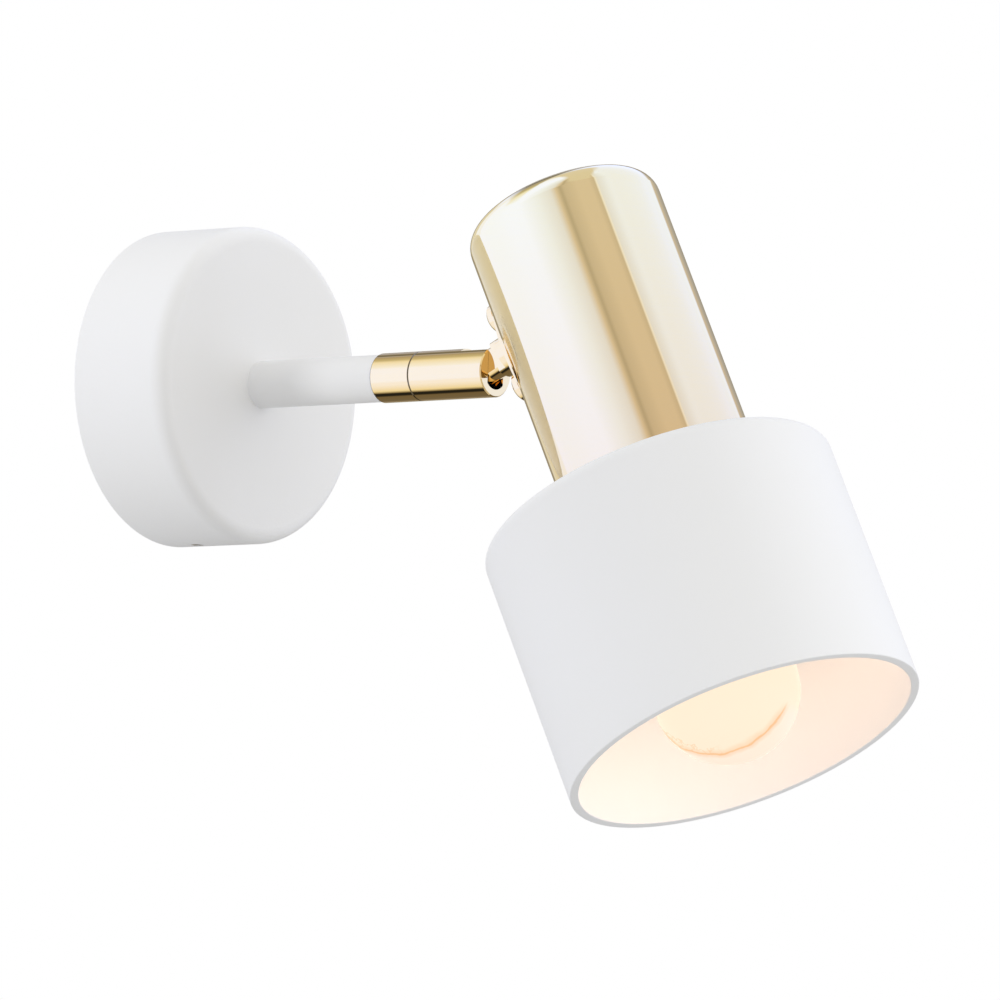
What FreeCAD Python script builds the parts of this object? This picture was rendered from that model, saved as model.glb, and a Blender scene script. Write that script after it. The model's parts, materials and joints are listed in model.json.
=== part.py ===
import FreeCAD, Part
import os
import re
import Sketcher
from FreeCAD import Placement, Rotation, Vector

# Wall lamp with a round canopy, a short arm, a swivelling knuckle and a tilting head.
# The wall is the plane Y = 0, the lamp stands out along -Y and +Z is up.
# The origin is the middle of the canopy on the wall.

# Driving dimensions in millimetres and degrees
SIZES = {
    # canopy
    "canopy_diameter": 100.0,
    "canopy_depth": 35.5,
    "canopy_wall": 1.2,
    "canopy_edge_radius": 4.6,
    "canopy_back_radius": 0.8,
    "canopy_screw_diameter": 4.0,
    "canopy_screw_length": 9.0,
    "canopy_screw_inset": 0.15,
    "canopy_screw_place": 12.0,
    "canopy_screw_hole_gap": 0.15,
    "canopy_socket_width": 2.0,
    "canopy_socket_depth": 2.2,
    # wall bracket
    "bracket_width": 20.0,
    "bracket_thickness": 1.8,
    "bracket_ear_inset": 4.0,
    "bracket_ear_depth": 18.0,
    "wall_screw_spacing": 55.0,
    "wall_slot_width": 4.6,
    "wall_slot_length": 14.0,
    "earth_tab_low": 2.0,
    "earth_tab_high": 16.0,
    "earth_tab_depth": 14.0,
    "earth_screw_diameter": 4.0,
    "earth_screw_length": 6.5,
    "earth_head_diameter": 7.0,
    "earth_head_height": 2.4,
    "earth_washer_diameter": 9.0,
    "earth_washer_thickness": 0.8,
    # terminal block
    "block_width": 18.0,
    "block_height": 14.0,
    "block_depth": 13.0,
    "block_side_shift": 1.0,
    "block_top_gap": 4.0,
    "pole_spacing": 9.0,
    "pole_depth": 5.0,
    "sleeve_diameter": 4.7,
    "sleeve_bore": 3.5,
    "sleeve_inset": 1.0,
    "clamp_spacing": 7.0,
    "clamp_diameter": 3.0,
    "clamp_head_diameter": 4.2,
    "clamp_head_height": 1.4,
    "clamp_well_diameter": 4.8,
    "clamp_well_depth": 3.4,
    "fixing_diameter": 2.8,
    "fixing_head_diameter": 4.0,
    "fixing_head_height": 1.6,
    "fixing_well_diameter": 4.4,
    "fixing_well_depth": 4.6,
    "fixing_point_gap": 0.3,
    # arm
    "arm_diameter": 14.8,
    "arm_wall": 1.2,
    "arm_length": 48.9,
    "nipple_diameter": 10.0,
    "nipple_bore": 7.2,
    "nipple_back": 9.0,
    "nipple_reach": 12.0,
    "nipple_hole_gap": 0.1,
    "arm_washer_diameter": 18.0,
    "arm_washer_thickness": 1.2,
    "arm_nut_width": 14.0,
    "arm_nut_height": 4.0,
    "root_bush_length": 14.0,
    # swivel
    "collar_diameter": 15.5,
    "collar_length": 15.1,
    "collar_skirt_length": 10.0,
    "collar_web": 6.0,
    "collar_cavity": 10.8,
    "collar_edge": 0.25,
    "seam_gap": 0.05,
    "stem_diameter": 9.6,
    "stem_bore": 5.8,
    "stem_float": 0.05,
    "stem_thread_diameter": 8.0,
    "stem_tail": 1.7,
    "running_gap": 0.05,
    "swivel_ring_diameter": 10.4,
    "swivel_washer_thickness": 0.8,
    "swivel_nut_height": 3.5,
    "stop_circle": 12.6,
    "stop_pin_diameter": 1.5,
    "stop_pin_seat": 3.0,
    "stop_pin_reach": 0.9,
    "stop_groove_width": 1.7,
    "stop_groove_depth": 1.3,
    "stop_sector": 15.4,
    # knuckle
    "knuckle_length": 28.45,
    "knuckle_edge": 0.35,
    "pin_setback": 5.5,
    "pin_diameter": 3.5,
    "pin_start": 2.4,
    "slot_width": 7.8,
    "slot_radius": 5.4,
    # tongue
    "rest_tilt": 26.6,
    "tongue_diameter": 10.0,
    "tongue_thickness": 7.7,
    "shoulder_diameter": 12.2,
    "shoulder_height": 5.3,
    "shoulder_round": 2.7,
    "wire_bore": 4.4,
    "flange_length": 37.0,
    "flange_width": 13.0,
    "flange_thickness": 2.5,
    "flange_screw_spacing": 24.0,
    "flange_screw_diameter": 5.0,
    "flange_screw_gap": 0.15,
    "flange_head_diameter": 10.2,
    "flange_head_height": 4.0,
    "flange_head_rim": 1.8,
    "flange_socket_width": 4.0,
    "flange_socket_depth": 2.4,
    "flange_nut_width": 8.0,
    "flange_nut_height": 4.0,
    "flange_screw_tail": 1.0,
    # head
    "barrel_clearance": 16.5,
    "barrel_offset": 4.6,
    "barrel_diameter": 61.4,
    "barrel_wall": 1.2,
    "barrel_above": 32.4,
    "barrel_edge_radius": 6.4,
    "barrel_wire_hole": 8.0,
    "shade_below": 69.4,
    "shade_diameter": 111.4,
    "shade_height": 82.2,
    "shade_wall": 2.8,
    "shade_edge_radius": 3.2,
    "shade_inner_radius": 1.6,
    "shade_rim_edge": 0.4,
    "shade_hole": 26.8,
    # lampholder
    "strip_width": 16.0,
    "strip_thickness": 2.0,
    "strip_top": 18.0,
    "strip_foot_height": 19.5,
    "strip_end": 9.0,
    "holder_nipple_above": 6.5,
    "holder_nipple_below": 6.0,
    "holder_nut_height": 3.0,
    "cap_diameter": 27.6,
    "cap_height": 15.0,
    "cap_wall": 1.8,
    "cap_edge_radius": 3.0,
    "core_diameter": 23.0,
    "core_height": 15.0,
    "core_wire_hole": 3.0,
    "core_wire_spacing": 14.0,
    "skirt_length": 23.0,
    "holder_diameter": 26.2,
    "holder_bore": 18.0,
    "holder_seat_diameter": 33.0,
    "holder_seat_height": 2.2,
    "shell_diameter": 14.4,
    "shell_wall": 0.5,
    "shell_end_gap": 0.2,
    "contact_width": 5.0,
    "contact_thickness": 0.4,
    "contact_length": 8.0,
    "contact_recess_diameter": 10.0,
    "contact_recess_depth": 2.0,
    "ring_diameter": 40.0,
    "ring_flange": 1.8,
    "ring_skirt_diameter": 31.0,
    "ring_height": 8.0,
    # bulb
    "globe_diameter": 45.0,
    "globe_wall": 0.7,
    "globe_shoulder_rise": 13.0,
    "globe_shoulder_length": 13.6,
    "neck_length": 4.0,
    "bulb_cap_diameter": 13.4,
    "bulb_cap_wall": 0.4,
    "bulb_cap_gap": 1.2,
    "bulb_cap_length": 19.8,
    "bulb_flare_height": 2.6,
    "bulb_flare_diameter": 16.8,
    "insulator_diameter": 5.4,
    "insulator_height": 1.8,
    "solder_diameter": 4.6,
    "solder_height": 0.9,
    "bulb_stem_diameter": 4.4,
    "bulb_stem_foot_height": 1.2,
    "bulb_stem_flare_height": 4.5,
    "bulb_stem_height": 18.0,
    "lead_diameter": 0.6,
    "lead_spread": 7.0,
    "lead_foot_spread": 0.8,
    "lead_seat": 2.0,
    "lead_length": 14.0,
    "filament_diameter": 1.0,
    # how far a cutting shape runs past what it cuts
    "overrun": 5.0,
}

# Places worked out from the sizes. A place on the arm is a distance from the wall,
# and a place on the head is a distance down the head from the pivot's level.
PLACES = {
    "canopy_radius": "canopy_diameter / 2",
    "canopy_floor": "canopy_depth - canopy_wall",
    "ear_face": "canopy_radius - bracket_ear_inset",
    "ear_back": "ear_face - bracket_thickness",
    "side_face": "bracket_width / 2",
    "tab_face": "side_face - bracket_thickness",
    "tab_middle": "(earth_tab_low + earth_tab_high) / 2",
    "earth_level": "(bracket_thickness + earth_tab_depth) / 2",
    "block_middle": "0 - block_side_shift",
    "block_left": "block_middle - block_width / 2",
    "block_low": "0 - block_top_gap - block_height",
    "block_centre": "0 - block_top_gap - block_height / 2",
    "block_face": "bracket_thickness + block_depth",
    "pole_level": "bracket_thickness + pole_depth",
    "clamp_seat": "block_face - clamp_well_depth",
    "clamp_point": "pole_level + sleeve_bore / 2",
    "fixing_seat": "block_face - fixing_well_depth",
    "arm_bore": "arm_diameter - 2 * arm_wall",
    "arm_end": "canopy_depth + arm_length",
    "seam": "arm_end + collar_length",
    "web_back": "seam - collar_web",
    "knuckle_back": "seam + seam_gap",
    "stem_shoulder": "web_back - stem_float",
    "washer_back": "stem_shoulder - swivel_washer_thickness",
    "swivel_nut_back": "washer_back - swivel_nut_height",
    "stem_back": "swivel_nut_back - stem_tail",
    "knuckle_end": "knuckle_back + knuckle_length",
    "pin_reach": "knuckle_end - pin_setback",
    "slot_floor": "pin_reach - slot_radius",
    "barrel_radius": "barrel_diameter / 2",
    "barrel_reach": "barrel_clearance + barrel_radius",
    "shade_reach": "barrel_reach - barrel_offset",
    "flange_face": "barrel_clearance - flange_thickness",
    "neck_end": "flange_face - shoulder_height",
    "flat_end": "flange_face - shoulder_round",
    "barrel_length": "barrel_above + shade_below",
    "strip_radius": "barrel_radius - barrel_wall",
    "nut_seat": "barrel_reach - sqrt((strip_radius - strip_thickness) ^ 2 - flange_nut_width ^ 2 / 3)",
    "flange_screw_end": "nut_seat + flange_nut_height + flange_screw_tail",
    "strip_foot": "shade_below - strip_foot_height",
    "strip_low": "strip_foot - strip_thickness",
    "holder_nipple_top": "strip_foot - holder_nipple_above",
    "holder_nipple_bottom": "strip_foot + holder_nipple_below",
    "shade_floor": "shade_below + shade_wall",
    "mouth": "shade_below + shade_height",
    "core_top": "strip_foot + cap_height",
    "core_bottom": "core_top + core_height",
    "ring_bottom": "shade_floor + ring_height",
    "holder_bottom": "core_bottom + skirt_length",
    "bulb_cap_bottom": "core_bottom + bulb_cap_gap",
    "bulb_cap_flare": "bulb_cap_bottom + bulb_cap_length",
    "bulb_cap_top": "bulb_cap_flare + bulb_flare_height",
    "flare_start": "bulb_cap_flare - insulator_height",
    "shell_bottom": "flare_start - shell_end_gap",
    "bulb_stem_top": "bulb_cap_flare + bulb_stem_height",
    "solder_top": "bulb_cap_bottom - insulator_height",
    "solder_point": "solder_top - solder_height",
    "contact_seat": "core_bottom - contact_recess_depth",
    "neck_diameter": "bulb_flare_diameter - 2 * bulb_cap_wall",
    "neck_top": "bulb_cap_top + neck_length",
    "globe_shoulder": "neck_top + globe_shoulder_length",
    "globe_middle": "globe_shoulder + globe_shoulder_rise",
    "stem_foot_top": "bulb_cap_flare + bulb_stem_foot_height",
    "lead_start": "bulb_stem_top - lead_seat",
    "lead_end": "bulb_stem_top + lead_length",
    "lead_slope": "(lead_spread - lead_foot_spread) / (lead_end - lead_start)",
}

QUARTER_TURN = 90.0
FULL_TURN = 360.0
NEAR = 0.001
ALONG = {
    "x": Rotation(Vector(0, 1, 0), QUARTER_TURN),
    "y": Rotation(Vector(1, 0, 0), -QUARTER_TURN),
    "z": Rotation(),
}

document = FreeCAD.newDocument("wall_lamp")
sheet = document.addObject("Spreadsheet::Sheet", "Sizes")
nodes = {}


def fill_sheet():
    for row, (alias, number) in enumerate(SIZES.items(), start=1):
        sheet.set("A%d" % row, alias)
        sheet.set("B%d" % row, str(number))
        sheet.setAlias("B%d" % row, alias)
    document.recompute()


def full(text):
    """Turns the names of sizes and places in an expression into references to the sheet."""
    def swap(word):
        name = word.group()
        if name in SIZES:
            return "Sizes." + name
        if name in PLACES:
            return "(" + full(PLACES[name]) + ")"
        return name
    return re.sub(r"[a-z][a-z_]*[a-z]", swap, text)


def value(text):
    return float(sheet.evalExpression(full(text)))


def bind(piece, name, text):
    piece.setExpression(name, full(text))


def settle(piece, corner, turn):
    """Places a piece at a corner given as three expressions, with a fixed turn."""
    piece.Placement = Placement(Vector(), turn)
    for name, text in zip("xyz", corner):
        if text != "0":
            bind(piece, "Placement.Base." + name, text)


def cylinder(name, diameter, start, end, centre=("0", "0"), along="z"):
    piece = document.addObject("Part::Cylinder", name)
    bind(piece, "Radius", "(%s) / 2" % diameter)
    bind(piece, "Height", "(%s) - (%s)" % (end, start))
    first, second = centre
    corners = {"x": (start, first, second), "y": (first, start, second), "z": (first, second, start)}
    settle(piece, corners[along], ALONG[along])
    return piece


def cone(name, start_diameter, end_diameter, start, end):
    piece = document.addObject("Part::Cone", name)
    bind(piece, "Radius1", "(%s) / 2" % start_diameter)
    bind(piece, "Radius2", "(%s) / 2" % end_diameter)
    bind(piece, "Height", "(%s) - (%s)" % (end, start))
    settle(piece, ("0", "0", start), ALONG["z"])
    return piece


def hexagon(name, width, start, end, centre=("0", "0"), along="z"):
    piece = document.addObject("Part::Prism", name)
    piece.Polygon = 6
    bind(piece, "Circumradius", "(%s) / sqrt(3)" % width)
    bind(piece, "Height", "(%s) - (%s)" % (end, start))
    first, second = centre
    corners = {"x": (start, first, second), "y": (first, start, second), "z": (first, second, start)}
    settle(piece, corners[along], ALONG[along])
    return piece


def block(name, low, high):
    piece = document.addObject("Part::Box", name)
    for side, near, far in zip(("Length", "Width", "Height"), low, high):
        bind(piece, side, "(%s) - (%s)" % (far, near))
    settle(piece, low, ALONG["z"])
    return piece


def sphere(name, diameter, along="0"):
    piece = document.addObject("Part::Sphere", name)
    bind(piece, "Radius", "(%s) / 2" % diameter)
    settle(piece, ("0", "0", along), ALONG["z"])
    return piece


def fuse(name, *pieces):
    piece = document.addObject("Part::MultiFuse", name)
    piece.Shapes = list(pieces)
    return piece


def cut(name, base, *tools):
    piece = document.addObject("Part::Cut", name)
    piece.Base = base
    piece.Tool = tools[0] if len(tools) == 1 else fuse(name + "_tools", *tools)
    return piece


def common(name, first, second):
    piece = document.addObject("Part::Common", name)
    piece.Base = first
    piece.Tool = second
    return piece


def group(name, *pieces):
    piece = document.addObject("Part::Compound", name)
    piece.Links = list(pieces)
    return piece


def origin_plane(body, role):
    return next(plane for plane in body.Origin.OriginFeatures if plane.Role == role)


def hold(sketch, index, kind, text):
    """Keeps a sketch's corner at a distance from the axes that follows the sheet."""
    if text == "0":
        axis = -2 if kind == "DistanceX" else -1
        sketch.addConstraint(Sketcher.Constraint("PointOnObject", index, 1, axis))
        return
    number = sketch.addConstraint(Sketcher.Constraint(kind, -1, 1, index, 1, value(text)))
    sketch.setExpression("Constraints[%d]" % number, full(text))


def outline_sketch(body, name, role, outline):
    sketch = body.newObject("Sketcher::SketchObject", name)
    sketch.AttachmentSupport = (origin_plane(body, role), [""])
    sketch.MapMode = "FlatFace"
    corners = [Vector(value(across), value(along), 0) for across, along in outline]
    for first, second in zip(corners, corners[1:] + corners[:1]):
        sketch.addGeometry(Part.LineSegment(first, second), False)
    for index, (across, along) in enumerate(outline):
        before = (index - 1) % len(outline)
        sketch.addConstraint(Sketcher.Constraint("Coincident", index, 1, before, 2))
        hold(sketch, index, "DistanceX", across)
        hold(sketch, index, "DistanceY", along)
    document.recompute()
    return sketch


def turned(name, outline):
    """A body turned about its own Z axis from an outline of (radius, place) corners."""
    body = document.addObject("PartDesign::Body", name)
    sketch = outline_sketch(body, name + "_profile", "XZ_Plane", outline)
    feature = body.newObject("PartDesign::Revolution", name + "_turning")
    feature.Profile = sketch
    feature.ReferenceAxis = (sketch, ["V_Axis"])
    feature.Angle = FULL_TURN
    document.recompute()
    return body


def ring_edges(body, radius, along):
    """Names the round edges of a turned body that have this radius and place."""
    names = []
    for number, edge in enumerate(body.Tip.Shape.Edges, start=1):
        curve = edge.Curve
        if not isinstance(curve, Part.Circle):
            continue
        if abs(curve.Radius - value(radius)) < NEAR and abs(curve.Center.z - value(along)) < NEAR:
            names.append("Edge%d" % number)
    return names


def dress(body, kind, name, size_name, size, edges):
    """Works the round edges of a turned body that are given as (radius, place)."""
    base = body.Tip
    names = []
    for radius, along in edges:
        names += ring_edges(body, radius, along)
    feature = body.newObject("PartDesign::" + kind, name)
    feature.Base = (base, names)
    bind(feature, size_name, size)
    document.recompute()


def fillet(body, name, radius, *edges):
    dress(body, "Fillet", name, "Radius", radius, edges)


def chamfer(body, name, size, *edges):
    dress(body, "Chamfer", name, "Size", size, edges)


def finish(name, piece, turn, reach="0", out="0", down="0"):
    """Turns a finished piece about X into the lamp and names its node.

    reach is along the arm from the wall, out and down are across and along the head."""
    piece.Placement = Placement(Vector(), Rotation(Vector(1, 0, 0), value(turn)))
    bind(piece, "Placement.Rotation.Angle", turn)
    terms = (reach, out, down)
    bind(piece, "Placement.Base.y", "0 - (%s) - (%s) * cos(rest_tilt) - (%s) * sin(rest_tilt)" % terms)
    bind(piece, "Placement.Base.z", "(%s) * sin(rest_tilt) - (%s) * cos(rest_tilt)" % (out, down))
    piece.Label = name
    nodes[name] = piece


def on_wall(name, piece):
    """Own Z runs out from the wall, own Y is up."""
    finish(name, piece, "90")


def down_head(name, piece, out, down="0"):
    """Own Z runs down the head from the pivot's level, own Y points away from the pivot."""
    finish(name, piece, "180 - rest_tilt", reach="pin_reach", out=out, down=down)


def out_tongue(name, piece):
    """Own Z runs out along the tongue from the pivot, own Y is up the head."""
    finish(name, piece, "90 - rest_tilt", reach="pin_reach")


# Bent steel strip against the wall, with an ear at each end and a tab for the earth screw
def make_bracket():
    base = block(
        "bracket_base",
        ("0 - side_face", "0 - ear_face", "0"),
        ("side_face", "ear_face", "bracket_thickness"),
    )
    parts = [base]
    for name, low, high in (
        ("top_ear", "ear_back", "ear_face"),
        ("bottom_ear", "0 - ear_face", "0 - ear_back"),
    ):
        ear = block(name, ("0 - side_face", low, "0"), ("side_face", high, "bracket_ear_depth"))
        parts.append(ear)
    parts.append(block(
        "earth_tab",
        ("tab_face", "earth_tab_low", "0"),
        ("side_face", "earth_tab_high", "earth_tab_depth"),
    ))
    tools = []
    for name, sign in (("top", ""), ("bottom", "0 - ")):
        middle = "%swall_screw_spacing / 2" % sign
        half = "(wall_slot_length - wall_slot_width) / 2"
        for end, shift in (("near", " - "), ("far", " + ")):
            tools.append(cylinder(
                "%s_slot_%s" % (name, end), "wall_slot_width",
                "0 - overrun", "bracket_thickness + overrun",
                ("0", middle + shift + half),
            ))
        tools.append(block(
            name + "_slot_middle",
            ("0 - wall_slot_width / 2", middle + " - " + half, "0 - overrun"),
            ("wall_slot_width / 2", middle + " + " + half, "bracket_thickness + overrun"),
        ))
    tools.append(cylinder(
        "ear_thread", "canopy_screw_diameter", "0 - ear_face - overrun", "ear_face + overrun",
        ("0", "canopy_screw_place"), "y",
    ))
    tools.append(cylinder(
        "earth_thread", "earth_screw_diameter", "tab_face - overrun", "side_face + overrun",
        ("tab_middle", "earth_level"), "x",
    ))
    tools.append(cylinder(
        "fixing_thread", "fixing_diameter", "0 - overrun", "bracket_thickness + overrun",
        ("block_middle", "block_centre"),
    ))
    on_wall("wall_bracket", cut("bracket_cut", fuse("bracket_strip", *parts), *tools))


def make_earth_screw():
    washer_face = "side_face + earth_washer_thickness"
    centre = ("tab_middle", "earth_level")
    shank = cylinder(
        "earth_shank", "earth_screw_diameter",
        washer_face + " - earth_screw_length", washer_face, centre, "x",
    )
    head = cylinder(
        "earth_head", "earth_head_diameter", washer_face, washer_face + " + earth_head_height", centre, "x",
    )
    on_wall("earth_screw", fuse("earth_screw_solid", shank, head))
    plate = cylinder("earth_plate", "earth_washer_diameter", "side_face", washer_face, centre, "x")
    hole = cylinder(
        "earth_plate_hole", "earth_screw_diameter", "side_face - overrun", "side_face + overrun",
        centre, "x",
    )
    on_wall("earth_washer", cut("earth_washer_solid", plate, hole))


POLES = (("left", "block_middle - pole_spacing / 2"), ("right", "block_middle + pole_spacing / 2"))
CLAMPS = (("low", "block_centre - clamp_spacing / 2"), ("high", "block_centre + clamp_spacing / 2"))


# Two-pole block with a brass sleeve in each bore and two clamp screws on each sleeve
def make_terminal():
    body = block(
        "block_body",
        ("block_left", "block_low", "bracket_thickness"),
        ("block_left + block_width", "block_low + block_height", "block_face"),
    )
    tools = []
    sleeves = []
    screws = []
    for side, across in POLES:
        tools.append(cylinder(
            side + "_bore", "sleeve_diameter", "block_low - overrun",
            "block_low + block_height + overrun", (across, "pole_level"), "y",
        ))
        tube = cylinder(
            side + "_tube", "sleeve_diameter", "block_low + sleeve_inset",
            "block_low + block_height - sleeve_inset", (across, "pole_level"), "y",
        )
        openings = [cylinder(
            side + "_tube_bore", "sleeve_bore", "block_low - overrun",
            "block_low + block_height + overrun", (across, "pole_level"), "y",
        )]
        for level, up in CLAMPS:
            name = side + "_" + level
            openings.append(cylinder(
                name + "_thread", "clamp_diameter", "pole_level", "pole_level + sleeve_diameter",
                (across, up),
            ))
            tools.append(cylinder(
                name + "_shaft", "clamp_diameter", "pole_level", "block_face", (across, up),
            ))
            tools.append(cylinder(
                name + "_well", "clamp_well_diameter", "clamp_seat", "block_face + overrun", (across, up),
            ))
            shank = cylinder(name + "_shank", "clamp_diameter", "clamp_point", "clamp_seat", (across, up))
            head = cylinder(
                name + "_head", "clamp_head_diameter", "clamp_seat", "clamp_seat + clamp_head_height",
                (across, up),
            )
            screws.append(fuse(name + "_screw", shank, head))
        sleeves.append(cut(side + "_sleeve", tube, *openings))
    middle = ("block_middle", "block_centre")
    tools.append(cylinder("fixing_shaft", "fixing_diameter", "0", "block_face", middle))
    tools.append(cylinder(
        "fixing_well", "fixing_well_diameter", "fixing_seat", "block_face + overrun", middle,
    ))
    on_wall("terminal_block", cut("terminal_body", body, *tools))
    on_wall("terminal_sleeves", group("sleeve_pair", *sleeves))
    on_wall("terminal_screws", group("clamp_set", *screws))
    shank = cylinder("fixing_shank", "fixing_diameter", "fixing_point_gap", "fixing_seat", middle)
    head = cylinder(
        "fixing_head", "fixing_head_diameter", "fixing_seat", "fixing_seat + fixing_head_height", middle,
    )
    on_wall("terminal_fixing_screw", fuse("fixing_solid", shank, head))


# Spun steel cup, open to the wall, with a rounded front edge, a softened back edge and a hole
# for the nipple
def make_canopy():
    inner = "canopy_radius - canopy_wall"
    hole = "nipple_diameter / 2 + nipple_hole_gap"
    body = turned("canopy_turning", [
        ("canopy_radius", "0"),
        ("canopy_radius", "canopy_depth"),
        (hole, "canopy_depth"),
        (hole, "canopy_floor"),
        (inner, "canopy_floor"),
        (inner, "0"),
    ])
    fillet(body, "canopy_front_edge", "canopy_edge_radius", ("canopy_radius", "canopy_depth"))
    fillet(body, "canopy_inner_edge", "canopy_edge_radius - canopy_wall", (inner, "canopy_floor"))
    fillet(body, "canopy_back_edge", "canopy_back_radius", ("canopy_radius", "0"))
    holes = cylinder(
        "canopy_screw_holes", "canopy_screw_diameter + 2 * canopy_screw_hole_gap",
        "0 - canopy_radius - overrun", "canopy_radius + overrun", ("0", "canopy_screw_place"), "y",
    )
    on_wall("canopy", cut("canopy_shell", body, holes))


# Headless screws with a hexagon socket, in the ears of the bracket and flush with the canopy
def make_canopy_screws():
    screws = []
    centre = ("0", "canopy_screw_place")
    outer = "(canopy_radius - canopy_screw_inset)"
    inner = outer + " - canopy_screw_length"
    floor = outer + " - canopy_socket_depth"
    past = outer + " + overrun"
    for side, shank, socket in (
        ("top", (inner, outer), (floor, past)),
        ("bottom", ("0 - " + outer, "0 - (%s)" % inner), ("0 - (%s)" % past, "0 - (%s)" % floor)),
    ):
        rod = cylinder(side + "_canopy_rod", "canopy_screw_diameter", *shank, centre, "y")
        hollow = hexagon(side + "_canopy_socket", "canopy_socket_width", *socket, centre, "y")
        screws.append(cut(side + "_canopy_screw", rod, hollow))
    on_wall("canopy_screws", group("canopy_screw_pair", *screws))


# Threaded tube, washer and nut that pull the arm onto the canopy, and the insert they screw into
def make_arm_root():
    start = "canopy_floor - nipple_back"
    end = "canopy_depth + nipple_reach"
    tube = cylinder("nipple_tube", "nipple_diameter", start, end)
    bore = cylinder("nipple_tube_bore", "nipple_bore", start + " - overrun", end + " + overrun")
    on_wall("arm_nipple", cut("nipple_solid", tube, bore))
    washer_back = "canopy_floor - arm_washer_thickness"
    plate = cylinder("arm_washer_plate", "arm_washer_diameter", washer_back, "canopy_floor")
    hole = cylinder(
        "arm_washer_hole", "nipple_diameter + 2 * nipple_hole_gap",
        washer_back + " - overrun", "canopy_floor + overrun",
    )
    on_wall("arm_washer", cut("arm_washer_solid", plate, hole))
    nut_back = washer_back + " - arm_nut_height"
    blank = hexagon("arm_nut_blank", "arm_nut_width", nut_back, washer_back)
    thread = cylinder("arm_nut_thread", "nipple_diameter", nut_back + " - overrun", "canopy_floor")
    on_wall("arm_nut", cut("arm_nut_solid", blank, thread))
    bush_end = "canopy_depth + root_bush_length"
    bush = cylinder("root_bush_blank", "arm_bore", "canopy_depth", bush_end)
    thread = cylinder(
        "root_bush_thread", "nipple_diameter", "canopy_depth - overrun", bush_end + " + overrun",
    )
    on_wall("arm_root_bush", cut("root_bush_solid", bush, thread))


def make_arm_tube():
    outer = cylinder("arm_outer", "arm_diameter", "canopy_depth", "arm_end")
    inner = cylinder("arm_inner", "arm_bore", "canopy_depth - overrun", "arm_end + overrun")
    on_wall("arm_tube", cut("arm_tube_solid", outer, inner))


# Brass collar whose skirt is fixed in the tube and whose web carries the swivel
def make_collar():
    outer = "collar_diameter / 2"
    skirt = "arm_bore / 2"
    cavity = "collar_cavity / 2"
    bearing = "stem_diameter / 2 + running_gap"
    body = turned("collar_turning", [
        (cavity, "arm_end - collar_skirt_length"),
        (skirt, "arm_end - collar_skirt_length"),
        (skirt, "arm_end"),
        (outer, "arm_end"),
        (outer, "seam"),
        (bearing, "seam"),
        (bearing, "web_back"),
        (cavity, "web_back"),
    ])
    chamfer(body, "collar_edges", "collar_edge", (outer, "seam"), (outer, "arm_end"))
    seat = cylinder(
        "stop_pin_hole", "stop_pin_diameter", "seam - stop_pin_seat", "seam + overrun",
        ("0", "stop_circle / 2"),
    )
    on_wall("arm_collar", cut("collar_solid", body, seat))
    pin = cylinder(
        "stop_rod", "stop_pin_diameter", "seam - stop_pin_seat",
        "knuckle_back + stop_pin_reach", ("0", "stop_circle / 2"),
    )
    on_wall("stop_pin", group("stop_pin_solid", pin))


# Brass knuckle: a hollow stem that turns in the collar, and a slot for the tongue
def make_knuckle():
    outer = "collar_diameter / 2"
    body = turned("knuckle_turning", [
        ("stem_bore / 2", "stem_back"),
        ("stem_thread_diameter / 2", "stem_back"),
        ("stem_thread_diameter / 2", "stem_shoulder"),
        ("stem_diameter / 2", "stem_shoulder"),
        ("stem_diameter / 2", "knuckle_back"),
        (outer, "knuckle_back"),
        (outer, "knuckle_end"),
        ("stem_bore / 2", "knuckle_end"),
    ])
    chamfer(body, "knuckle_end_edge", "knuckle_edge", (outer, "knuckle_end"))
    chamfer(body, "knuckle_back_edge", "collar_edge", (outer, "knuckle_back"))
    side = "slot_width / 2"
    corner = "0 - sqrt(slot_radius ^ 2 - slot_width ^ 2 / 4)"
    upper = block(
        "slot_upper", ("0 - " + side, corner, "slot_floor"),
        (side, "collar_diameter", "knuckle_end + overrun"),
    )
    lower_box = block(
        "slot_lower_box", ("0 - " + side, "0 - collar_diameter", "slot_floor"),
        (side, "0", "knuckle_end + overrun"),
    )
    lower_bore = cylinder("slot_lower_bore", "2 * slot_radius", "slot_floor", "knuckle_end + overrun")
    lower = common("slot_lower", lower_box, lower_bore)
    pin_hole = cylinder(
        "pin_hole", "pin_diameter", "0 - collar_diameter", "collar_diameter", ("0", "pin_reach"), "x",
    )
    groove = stop_groove()
    on_wall("knuckle", cut("knuckle_solid", body, fuse("slot", upper, lower), pin_hole, groove))


def stop_groove():
    """Ring groove in the knuckle's back face, broken by the stop."""
    end = "knuckle_back + stop_groove_depth"
    outer = cylinder("groove_outer", "stop_circle + stop_groove_width", "knuckle_back - overrun", end)
    inner = cylinder("groove_inner", "stop_circle - stop_groove_width", "knuckle_back - 2 * overrun", end)
    ring = cut("groove_ring", outer, inner)
    stop = document.addObject("Part::Cylinder", "stop_wedge")
    bind(stop, "Radius", "collar_diameter")
    bind(stop, "Height", "stop_groove_depth + 3 * overrun")
    bind(stop, "Angle", "stop_sector")
    stop.Placement = Placement(Vector(), Rotation(Vector(0, 0, -1), QUARTER_TURN))
    bind(stop, "Placement.Rotation.Angle", "90 + stop_sector / 2")
    bind(stop, "Placement.Base.z", "knuckle_back - 2 * overrun")
    return cut("groove", ring, stop)


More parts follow.
